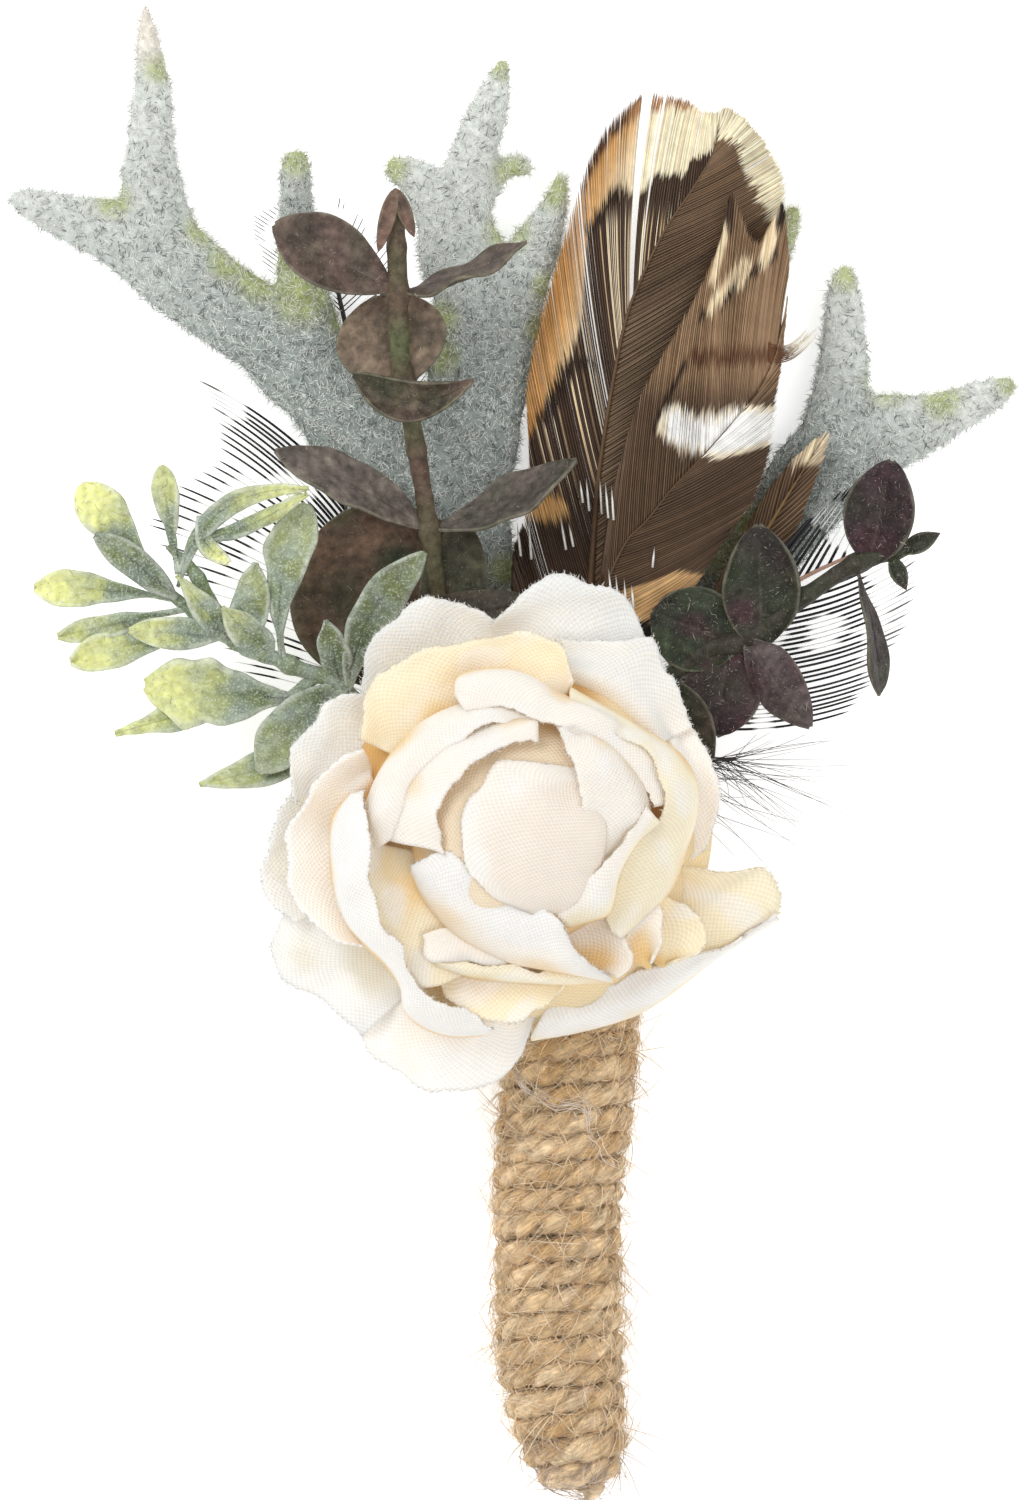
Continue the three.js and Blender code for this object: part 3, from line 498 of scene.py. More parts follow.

# Each petal lies between two edges that show from above, given round the bloom's axis as x, y pairs in mm
# with heights at evenly spread places: first its cut lip, then the line where it turns down or goes
# under its neighbour. "wrap" petals close over the bud, so the second line is their shoulder; "flare"
# petals open outward, and the second line is where they come out. Then the lip's and the fold's colour.
# Folds coloured gold are painted warm shade deep in the bloom, and folds coloured pearl are painted
# yellow-grey shade.
PETALS = {
    "ring_left": ("wrap", "cream", "cream",
        [(-7.2, -2.8), (-7.7, 0.7), (-6.0, 4.6), (-2.8, 7.0), (0.3, 7.9), (1.7, 7.7)], (33.4, 34.6, 34.0),
        [(-12.2, -1.4), (-11.6, 2.2), (-8.6, 6.1), (-4.7, 8.9), (-0.8, 10.0), (1.7, 10.1)],
        (30.4, 31.5, 31.6)),
    "ring_left_outer": ("wrap", "cream", "cream",
        [(-11.7, -1.2), (-10.7, 2.2), (-8.3, 5.9), (-4.9, 8.5), (-0.9, 9.8), (1.3, 10.1)], (31.4, 32.6, 33.0),
        [(-14.3, -2.5), (-14.4, 1.1), (-12.8, 5.2), (-9.8, 8.9), (-6.0, 11.0), (-2.3, 11.6), (0.8, 10.9)],
        (28.0, 29.5, 30.6)),
    "right_inner": ("wrap", "cream", "cream",
        [(3.4, 9.0), (5.2, 5.6), (5.6, 1.8), (5.9, -2.0), (6.6, -4.8)], (34.6, 34.8, 33.0),
        [(6.0, 9.6), (9.8, 6.2), (11.9, 2.2), (10.9, -1.2), (7.1, -5.0)], (31.0, 30.6, 30.4)),
    "top_sweep": ("wrap", "cream", "cream",
        [(-5.4, 11.3), (-2.3, 11.5), (0.8, 10.8), (5.3, 8.1), (8.7, 6.4), (11.0, 4.4), (12.6, 1.7)],
        (31.6, 33.4, 32.6, 30.4),
        [(-6.0, 12.1), (-5.6, 13.8), (-2.6, 14.5), (0.4, 14.0), (3.8, 12.1), (8.1, 10.4), (11.3, 8.0),
         (13.3, 5.2), (14.0, 2.0)], (29.5, 30.0, 29.8, 29.0)),
    "right_rim": ("wrap", "yellow", "yellow",
        [(4.7, 10.8), (9.0, 8.6), (12.5, 5.6), (14.1, 2.1), (12.8, 0.0), (10.6, -1.2), (9.1, -4.6),
         (8.2, -8.0), (9.0, -10.4)], (30.6, 31.4, 31.6, 30.8, 28.6),
        [(4.7, 12.7), (8.3, 10.7), (11.8, 8.7), (14.8, 6.6), (16.3, 4.1), (16.4, 1.1), (15.4, -2.0),
         (13.7, -6.3), (9.5, -10.7)], (28.6, 28.4, 28.0, 27.6, 26.4)),
    "diagonal": ("wrap", "cream", "yellow",
        [(12.0, 1.9), (10.1, -0.8), (8.4, -3.2), (6.6, -5.0), (4.9, -6.5), (3.2, -8.2)], (32.0, 33.6, 32.6),
        [(13.1, 0.3), (10.9, -1.6), (9.2, -4.6), (8.3, -7.9), (6.8, -8.8), (4.5, -9.5)], (30.6, 31.4, 30.4)),
    "front": ("wrap", "white", "cream",
        [(-10.2, -3.8), (-8.3, -2.8), (-6.5, -2.6), (-5.2, -4.1), (-2.6, -4.8), (-0.4, -6.9), (1.7, -7.5),
         (3.5, -8.8), (5.3, -11.9), (8.5, -14.3)], (31.4, 33.4, 33.6, 32.6, 29.0),
        [(-10.1, -4.3), (-8.9, -6.8), (-6.9, -9.2), (-4.6, -10.9), (-1.1, -12.6), (1.5, -13.2),
         (3.9, -13.7), (8.5, -14.6)], (29.6, 29.0, 28.6, 27.6)),
    "front_under": ("wrap", "yellow", "yellow",
        [(-8.3, -12.8), (-4.1, -13.0), (0.0, -13.3), (4.5, -13.4), (8.6, -14.3)], (27.6, 28.0, 27.2),
        [(-7.9, -13.1), (-4.5, -14.2), (-0.4, -14.6), (3.8, -14.8), (8.7, -14.6)], (26.6, 26.2, 26.0)),
    "left_pocket": ("wrap", "cream", "cream",
        [(-9.0, -10.2), (-8.9, -11.9), (-8.0, -12.9), (-4.0, -13.2)], (28.0, 28.4, 27.6),
        [(-6.0, -9.6), (-3.4, -11.0), (0.0, -12.0), (3.0, -12.6)], (27.4, 27.0, 26.6)),
    "gold_left": ("flare", "yellow", "gold",
        [(-14.6, -1.5), (-14.4, -6.1), (-13.3, -9.9), (-11.6, -13.0), (-9.4, -15.6)], (29.6, 28.6, 26.8),
        [(-9.1, -2.5), (-7.3, -6.2), (-5.0, -9.4), (-2.3, -11.5), (-0.8, -12.6)], (27.4, 26.6, 25.6)),
    "left_wrap": ("wrap", "white", "white",
        [(-14.6, 3.2), (-14.3, 0.3), (-14.3, -2.5), (-14.0, -6.1), (-12.8, -9.8), (-10.9, -12.6),
         (-9.3, -15.1), (-6.7, -17.0), (-3.8, -18.5), (-2.3, -18.7)], (29.6, 31.4, 30.6, 27.4, 24.4),
        [(-15.8, 2.9), (-17.4, 0.7), (-17.6, -2.7), (-17.2, -6.1), (-16.1, -9.1), (-14.2, -11.4),
         (-12.4, -13.2), (-11.1, -15.1), (-10.7, -17.3), (-8.9, -18.9), (-6.3, -19.7), (-3.4, -19.6)],
        (27.4, 27.8, 26.6, 24.4, 22.6)),
    "left_flare": ("flare", "white", "white",
        [(-14.6, 7.1), (-17.3, 5.9), (-19.5, 4.1), (-21.0, 1.4), (-21.9, -2.0), (-21.8, -5.0),
         (-20.3, -8.0), (-17.6, -10.4), (-13.5, -11.9)], (25.4, 26.2, 25.6, 24.0),
        [(-13.6, 4.1), (-15.4, 1.8), (-15.9, -2.7), (-15.4, -6.8), (-13.8, -9.6), (-12.0, -11.0)],
        (23.4, 23.0, 22.6)),
    "left_top_outer": ("flare", "shell", "shell",
        [(-14.6, 12.8), (-17.3, 11.9), (-19.5, 9.8), (-21.0, 7.4), (-21.6, 4.8), (-21.1, 2.2)],
        (22.4, 23.0, 22.4),
        [(-12.0, 8.0), (-14.4, 6.0), (-17.0, 4.0), (-18.4, 1.4)], (21.0, 20.6)),
    "left_outer": ("flare", "shell", "pearl_shade",
        [(-20.4, 4.0), (-22.9, 1.1), (-23.9, -2.0), (-23.9, -5.0), (-23.0, -7.6), (-21.4, -9.4)],
        (20.6, 21.4, 20.4),
        [(-18.6, 2.6), (-19.5, -1.2), (-19.6, -5.0), (-18.4, -8.1)], (20.0, 19.6)),
    "lower_left_outer": ("flare", "shell", "pearl_shade",
        [(-21.8, -7.3), (-23.1, -11.0), (-23.1, -14.0), (-21.6, -15.6), (-19.5, -16.1), (-17.3, -17.6),
         (-14.6, -19.6)], (18.6, 18.2, 18.4),
        [(-18.6, -6.6), (-15.6, -9.6), (-12.6, -11.6), (-9.6, -15.2)], (20.4, 20.4)),
    "bottom_outer": ("flare", "white", "cream",
        [(-15.9, -17.6), (-14.8, -20.7), (-12.8, -23.0), (-9.8, -24.6), (-6.0, -25.1), (-2.6, -24.2),
         (-0.3, -22.4), (0.8, -20.2), (1.7, -18.1), (3.4, -15.5)], (18.0, 17.6, 18.4, 20.0),
        [(-10.3, -14.4), (-8.0, -16.5), (-5.0, -17.6), (-2.3, -17.2), (0.4, -15.9), (2.2, -13.8)],
        (20.4, 21.4, 20.6)),
    "bottom_cream": ("flare", "yellow", "cream",
        [(-8.0, -14.6), (-6.0, -17.0), (-3.4, -18.5), (0.0, -18.3), (2.6, -16.6), (4.1, -14.6)],
        (24.6, 24.6, 24.4),
        [(-7.6, -12.0), (-3.0, -12.6), (1.5, -13.0), (4.1, -13.0)], (24.4, 24.6)),
    "strip": ("wrap", "white", "white",
        [(3.0, -16.2), (5.6, -15.8), (9.0, -14.8), (12.8, -13.6), (16.1, -12.5), (19.5, -11.2),
         (22.5, -9.7), (24.4, -8.4)], (20.4, 21.4, 21.6, 21.0),
        [(1.1, -20.1), (6.0, -19.2), (10.9, -17.7), (14.1, -15.8), (17.6, -13.1), (21.4, -10.5),
         (24.3, -8.8)], (17.2, 17.6, 18.4, 20.6)),
    "tongue": ("flare", "yellow", "yellow",
        [(13.2, -3.6), (17.6, -4.3), (20.3, -4.4), (23.0, -4.0), (24.1, -6.1), (24.5, -7.7), (24.3, -8.9),
         (22.2, -10.0)], (21.4, 22.6, 21.4, 20.6),
        [(10.8, -5.8), (11.1, -8.7), (12.3, -11.0), (14.1, -12.9), (17.5, -12.0)], (20.6, 20.6)),
    "cup_a": ("flare", "cream", "gold",
        [(9.5, -10.0), (10.5, -8.3), (12.4, -7.2), (13.6, -8.7), (13.8, -11.0), (12.6, -12.9)],
        (26.6, 27.0, 26.0),
        [(8.6, -11.5), (9.6, -12.4), (10.9, -12.9), (12.0, -13.4)], (25.0, 24.6)),
    "cup_b": ("flare", "yellow", "gold",
        [(13.2, -6.6), (16.1, -8.0), (17.4, -9.5), (17.3, -11.8), (14.1, -13.2)], (24.6, 25.2, 24.2),
        [(11.8, -10.5), (12.4, -11.8), (13.1, -13.2)], (23.6, 23.4)),
    "cup_c": ("flare", "cream", "gold",
        [(4.1, -9.4), (7.5, -8.4), (9.6, -10.4), (10.4, -12.5), (9.2, -14.4)], (27.0, 27.8, 26.6),
        [(2.8, -11.0), (4.3, -12.5), (6.5, -14.0)], (25.6, 25.4)),
    "top_left_outer": ("flare", "shell", "shell",
        [(-14.9, 12.4), (-14.5, 15.4), (-13.1, 18.0), (-11.2, 20.2), (-8.9, 21.0), (-6.4, 21.1),
         (-4.4, 20.4), (-2.2, 19.0)], (20.8, 21.8, 21.4),
        [(-11.5, 10.3), (-9.3, 12.9), (-6.3, 14.3), (-3.3, 15.0), (-1.3, 15.6)], (20.4, 20.6)),
    "top_outer": ("flare", "shell", "shell",
        [(-2.8, 18.8), (0.0, 21.9), (2.6, 23.4), (4.9, 23.5), (7.5, 22.8), (9.4, 21.0), (11.0, 19.1),
         (12.3, 16.4)], (22.4, 23.4, 22.4),
        [(-1.5, 15.6), (2.3, 15.0), (5.3, 14.7), (9.0, 14.4), (11.0, 14.1)], (22.0, 22.0)),
    "top_right_outer": ("flare", "shell", "shell",
        [(3.6, 17.6), (8.0, 17.4), (11.9, 17.4), (13.9, 14.3), (15.3, 11.3), (16.0, 9.0)],
        (23.8, 24.2, 23.2, 22.4),
        [(4.7, 14.4), (8.3, 12.8), (10.6, 10.8), (13.1, 7.6)], (24.0, 23.0)),
    "right_outer": ("flare", "white", "white",
        [(15.4, 9.9), (17.9, 6.3), (19.1, 3.3), (18.8, 0.7), (17.6, -1.6), (14.6, -4.2)], (21.6, 22.4, 21.4),
        [(13.6, 8.6), (15.0, 4.1), (14.4, -0.8), (12.9, -3.5)], (22.0, 21.6)),
    "top_rim": ("flare", "yellow", "yellow",
        [(-15.3, 8.2), (-14.3, 12.6), (-11.3, 15.2), (-8.3, 16.5), (-5.3, 17.3), (-0.8, 17.9), (2.3, 17.4),
         (4.0, 16.6), (4.9, 13.2)], (25.4, 27.0, 27.4, 26.8),
        [(-12.0, 6.6), (-10.1, 7.6), (-8.3, 9.2), (-5.6, 10.8), (-2.6, 12.4), (0.4, 12.2), (4.0, 11.4)],
        (25.0, 25.4, 25.6)),
}


def petal_surface(kind, lip, lip_heights, fold, fold_heights, seed):
    """A petal from its hidden foot, over its fold, to its lip: Catmull-Rom curves through those rows, with
    a slow ripple up and outward. A wrap petal swells between fold and lip, a flare petal dips a little."""
    length = np.linalg.norm(np.diff(lip, axis=0), axis=1).sum()
    columns = int(min(76, max(26, length / 0.34)))
    edges = []
    for line, heights in ((fold, fold_heights), (lip, lip_heights)):
        across = even(line, columns)
        edges.append(np.column_stack([across, spline(heights, columns)]))
    fold_row, lip_row = edges
    wraps = kind == "wrap"
    foot = fold_row * [0.6, 0.6, 1] if wraps else fold_row * [0.5, 0.5, 1]
    foot[:, 2] = np.maximum(FOOT_Z, fold_row[:, 2] - (9 if wraps else 7))
    waist = (foot + fold_row) / 2
    waist[:, :2] = fold_row[:, :2] * (0.97 if wraps else 0.8)
    middle = (fold_row + lip_row) / 2
    middle[:, 2] += 0.6 if wraps else -0.5
    if wraps:
        middle[:, :2] += 0.12 * (fold_row - lip_row)[:, :2]
    surface = spline([foot, waist, fold_row, middle, lip_row], PETAL_ROWS)
    share = np.linspace(0, 1, PETAL_ROWS)[:, None]
    surface[..., 2] += 0.45 * step(0.4, 1, share) * ripple(surface, 7.0, seed)
    outward = unit(surface * [1, 1, 0])
    return surface + outward * (0.35 * step(0.45, 1, share) * ripple(surface, 5.0, seed + 50))[..., None]


def weave_of(surface):
    """Cloth coordinates in mm: mean length walked across the sheet's rows and along its columns."""
    across = np.linalg.norm(np.diff(surface, axis=1), axis=2).mean(0)
    along = np.linalg.norm(np.diff(surface, axis=0), axis=2).mean(1)
    return np.stack(np.broadcast_arrays(summed(across)[None], summed(along)[:, None], 0.0), -1)


def frayed(pile, threads, surface, settings, lip_tint, fold_tint, foot_shade_tint, seed):
    """Adds a petal whose lip row wanders by the fray and carries loose threads. Its tint goes from the
    foot's over the fold's to the lip's, and its outer part is whiter in patches."""
    rng = np.random.default_rng(seed)
    rows, columns, _ = surface.shape
    wander = settings.fray * rng.uniform(-1, 1, columns) + 0.12 * ripple(surface[-1], 2.5, seed)
    surface[-1] += unit(surface[-1] - surface[-2]) * wander[:, None]
    share = np.linspace(0, 1, rows)[:, None]
    uneven = 0.12 * ripple(surface, 6.0, seed + 90)
    tint = mix(foot_shade_tint, fold_tint, step(0.3, 0.62, share + uneven))
    tint = mix(tint, lip_tint, step(0.6, 0.85, share + uneven))
    bare = step(0.1, 1.1, ripple(surface * [1, 1, 0.3], 4.5, seed + 130)) * step(0.5, 0.8, share)
    tint = mix(tint, np.array(settings.white), 0.6 * bare)
    sheet(pile, surface, settings.cloth, tint, weave_of(surface))
    count = columns * 3
    at = rng.integers(0, columns, count)
    root = surface[-1, at] + rng.normal(0, 0.05, (count, 3))
    outward = unit(surface[-1, at] - surface[-3, at])
    sideways = unit(np.roll(surface[-1], -1, axis=0) - surface[-1])[at]
    aim = unit(outward + rng.normal(0, 0.35, (count, 1)) * sideways + rng.normal(0, 0.15, (count, 3)))
    t = np.linspace(0, 1, 4)[None, :, None]
    reach = (0.1 + 0.38 * rng.uniform(0, 1, (count, 1, 1)) ** 3) * t
    curl = rng.normal(0, 0.08, (count, 1, 3)) * t ** 2
    lines = root[:, None] + aim[:, None] * reach + curl
    strands(threads, lines, np.array([0.04, 0.035, 0.03, 0.0]), lip_tint, up=rng.normal(size=(count, 1, 3)))


def bud_height(x, y):
    """The closed bud: a broad dome, z = top - depth (1 - sqrt(1 - r^2)), with r the distance from its axis
    as a share of its radius."""
    r2 = ((x - BUD_X) / BUD_RADIUS) ** 2 + ((y - BUD_Y) / BUD_RADIUS) ** 2
    return BUD_TOP - BUD_DEPTH * (1 - np.sqrt(np.maximum(1 - r2, 0.0)))


def make_bloom(settings):
    """The closed bud, the wrap that is folded over it, and the petals round it."""
    colours = {name: np.array(getattr(settings, name)) for name in ("white", "cream", "yellow", "gold")}
    gold = colours["gold"]
    # Pearl: a painted yellow-grey shade for the folds of two outer petals.
    colours["pearl_shade"] = mix(colours["white"], srgb("#c9c3ab"), 0.6)
    colours["shell"] = mix(colours["white"], srgb("#e2e6e6"), 0.5)
    cloth = once(woven_cotton, settings.thread)
    bud, threads = Pile(), Pile()
    a, r = np.meshgrid(np.linspace(0, TURN, 90), np.linspace(0.995, 0.02, 36))
    x, y = BUD_X + DOME_RADIUS * r * np.cos(a), BUD_Y + DOME_RADIUS * r * np.sin(a)
    dome = np.stack([x, y, bud_height(x, y) - 0.7], -1)
    # The dome shows only between the wrap and the ring petals. Its peach is partly the bud's own tone and
    # partly painted shade, and the gold at its margin is painted warm shade under the petals.
    peach = mix(colours["cream"], gold, 0.5)
    sheet(bud, dome + BLOOM, settings.cloth, mix(peach, gold, step(0.8, 1.0, r)), weave_of(dome))
    # The lining under the petals, a shallow cone, painted as warm shade: yellow-gold, and ochre where slots
    # between the petals show it.
    reach = LINING_RADIUS * r
    dish = np.stack([reach * np.cos(a), reach * np.sin(a), LINING_Z - 0.85 * np.maximum(reach - 9, 0)], -1)
    ochre_shade = mix(gold, srgb("#cf9136"), 0.6)
    slots = [(4.6, 12.0, 3.2), (12.4, 2.0, 2.8), (-12.9, 6.0, 4.2), (15.4, 7.4, 1.4)]
    deep = nearness(dish.reshape(-1, 3), slots).reshape(r.shape)
    tint = mix(mix(colours["yellow"], gold, 0.5), ochre_shade, deep)
    sheet(bud, dish + BLOOM, settings.cloth, tint, weave_of(dish))
    # The wrap over the bud, from its frayed lip at the left and the top to its hidden right side.
    columns = 110
    lip = even([(6.6, 4.6), (5.1, 5.3), (1.1, 5.9), (-1.6, 5.9), (-2.4, 5.4), (-3.6, 3.7), (-4.9, 2.1),
                (-5.4, 0.1), (-5.2, -2.9), (-4.2, -4.9), (-2.0, -6.9), (1.0, -8.2)], columns)
    far = even([(7.4, 3.8), (8.0, 0.5), (7.9, -2.5), (6.9, -5.4), (4.6, -7.6), (1.6, -8.6)], columns)
    wrap = spline([far, (far + lip) / 2, lip], 60)
    wrap = np.concatenate([wrap, bud_height(wrap[..., 0], wrap[..., 1])[..., None] + 0.15], -1)
    wrap[..., 2] += 0.1 * ripple(wrap, 5.0, 3)
    # The wrap is painted peachier towards its hidden far side under the right petals: painted shade.
    blush_shade = mix(colours["cream"], srgb("#f3e0cd"), 0.5)
    frayed(bud, threads, wrap + BLOOM, settings, colours["cream"], blush_shade, blush_shade, 2)
    attach(bud.build("bloom_bud", cloth), "petal_fabric", "bloom_petals")

    inner, outer = Pile(), Pile()
    for k, (kind, lip_colour, fold_colour, lip, lip_z, fold, fold_z) in enumerate(PETALS.values()):
        surface = petal_surface(kind, lip, lip_z, fold, fold_z, 10 + k)
        pile = inner if min(lip_z) > 23.5 else outer
        # The feet of the petals are painted warm shade: gold in the inner ones, yellow in the outer ones.
        foot_shade_tint = gold if pile is inner else colours["yellow"]
        frayed(
            pile, threads, surface + BLOOM, settings, colours[lip_colour], colours[fold_colour], foot_shade_tint,
            200 + k)
    attach(inner.build("bloom_inner_petals", cloth), "petal_fabric", "bloom_petals")
    attach(outer.build("bloom_outer_petals", cloth), "petal_fabric", "bloom_petals")
    attach(threads.build("bloom_frayed_threads", cloth), "petal_fabric", "bloom_petals")


def make_calyx():
    """The bloom's cup, a lathed profile, with sepals under the petals and the taped wire to the neck."""
    cup = Pile()
    green = srgb("#66754a")
    rings = 24
    radius, height = spline(
        [(1.4, 9.2), (2.0, 10.0), (3.4, 11.6), (4.8, 12.9), (5.4, 13.9), (5.0, 14.6)], rings).T
    path = BLOOM + (height + np.linspace(0, 0.01, rings))[:, None] * UP
    tube(cup, path, radius, radius, 40, green, up=np.array([0.0, 1.0, 0.0]))
    for k in range(5):
        a = TURN * (k + 0.3) / 5
        out = np.array([math.cos(a), math.sin(a), 0])
        foot, tip = BLOOM + out * 2.5 + UP * 12.8, BLOOM + out * 10.5 + UP * 13.3
        surface = leaf_surface(foot, tip, 4.4, shape=(0.9, 1.0), cup=0.02, bend=0.02, rows=20, columns=12)
        sheet(cup, surface, 0.4, green)
    wire = spline([
        (6.2, STEM_END_Y, 9.7), (6.2, NECK_Y, 9.7), (4.8, -13, 9.5), (2.6, -9.8, 9.7), (0.8, -7.2, 10.8)], 40)
    tube(cup, wire, 1.0 + 0.04 * ripple(wire, 1.6, 4), 1.0, 14, green)
    attach(cup.build("bloom_calyx_cup", once(floral_tape)), "floral_tape", "bloom_calyx")


# ---- leaves ----
def leaf_grid(rows, columns):
    """Grids of u, which runs across a leaf from -1 to 1, and v, which runs along it from 0 to 1."""
    return np.meshgrid(np.linspace(-1, 1, columns), np.linspace(0, 1, rows))


def leaf_surface(foot, tip, width, shape=(1.0, 0.6), roll=0.0, cup=0.12, bend=0.08, sway=0.0, rows=26,
                 columns=18, wave=0.0, seed=0, least=0.05, ragged=0.0):
    """A leaf from its foot to its tip. Its half width at v along is sin(pi v^a)^b with shape (a, b); roll
    turns it about its length, in degrees; cup lifts its sides by u^2, bend and sway bow it by v (1 - v).
    ragged widens and narrows each side by itself, and wave lifts the rims, both by a ripple. Its half width
    is never less than the share least of the widest."""
    u, v = leaf_grid(rows, columns)
    half = np.maximum(least, np.sin(np.pi * np.clip(v, 0.0, 1.0) ** shape[0]) ** shape[1])
    start, along = np.asarray(foot, float), np.subtract(tip, foot)
    length = np.linalg.norm(along)
    half = half * (1 + ragged * ripple(np.stack([v * length, 9 * np.sign(u), 0 * u], -1), 3.2, seed + 5))
    side = unit(np.cross(along, UP))
    face = np.cross(side, unit(along))
    angle = math.radians(roll)
    across = side * math.cos(angle) + face * math.sin(angle)
    out = face * math.cos(angle) - side * math.sin(angle)
    bow = (2 * length * v * (1 - v))[..., None]
    flat = start + v[..., None] * along + (u * half * width / 2)[..., None] * across
    lift = cup * width * (u * half) ** 2 + wave * np.abs(u) ** 2 * ripple(flat, 5.0, seed)
    return flat + lift[..., None] * out + bow * (bend * out + sway * side)


def leaf_veins(surface, depth, spacing):
    """Moves a leaf's surface by a grooved midrib and by side veins that leave it forward at a slant."""
    rows, columns, _ = surface.shape
    u, v = leaf_grid(rows, columns)
    length = np.linalg.norm(surface[-1, columns // 2] - surface[0, columns // 2])
    veins = np.cos(TURN * (v * length - 1.2 * np.abs(u)) / spacing)
    move = depth * (-1.4 * np.exp(-(u / 0.09) ** 2) + 0.35 * veins * (1 - u * u))
    fade = np.sin(np.pi * np.clip(v, 0.05, 0.95))
    return surface + normals(surface) * (move * fade)[..., None]


# Each stem runs straight from its end in the taped core to the neck, at this x, z and radius.
STEM_END_Y = -20.4
NECK_Y = -16.0
SLOTS = {
    "antler_left": (3.3, 4.2, 0.9), "antler_centre": (5.9, 4.0, 0.9), "antler_right": (8.7, 4.0, 0.9),
    "barred_left": (4.6, 2.6, 0.4), "barred_top": (7.2, 2.6, 0.4), "barred_right": (8.2, 7.4, 0.4),
    "pheasant_left": (6.4, 6.1, 0.4), "pheasant_right": (6.8, 7.6, 0.4), "pheasant_small": (7.9, 5.9, 0.4),
    "down": (9.4, 6.6, 0.4), "spray": (2.4, 6.8, 0.8), "eucalyptus_top": (3.7, 9.2, 0.8),
    "eucalyptus_right": (8.6, 9.3, 0.8),
}


def rooted(slot, stations):
    """Stations from a slot in the core outward; those of a limb also have half width and half height."""
    x, z, radius = SLOTS[slot]
    size = (radius, radius)[: len(stations[0]) - 3]
    return [(x, STEM_END_Y, z, *size), (x, NECK_Y, z, *size), *stations]


VOXEL = 0.42  # mm, the grain at which a leaf's limbs are fused
MOST_FIBRES = 62000  # on one leaf, which keeps each coat under 200,000 triangles

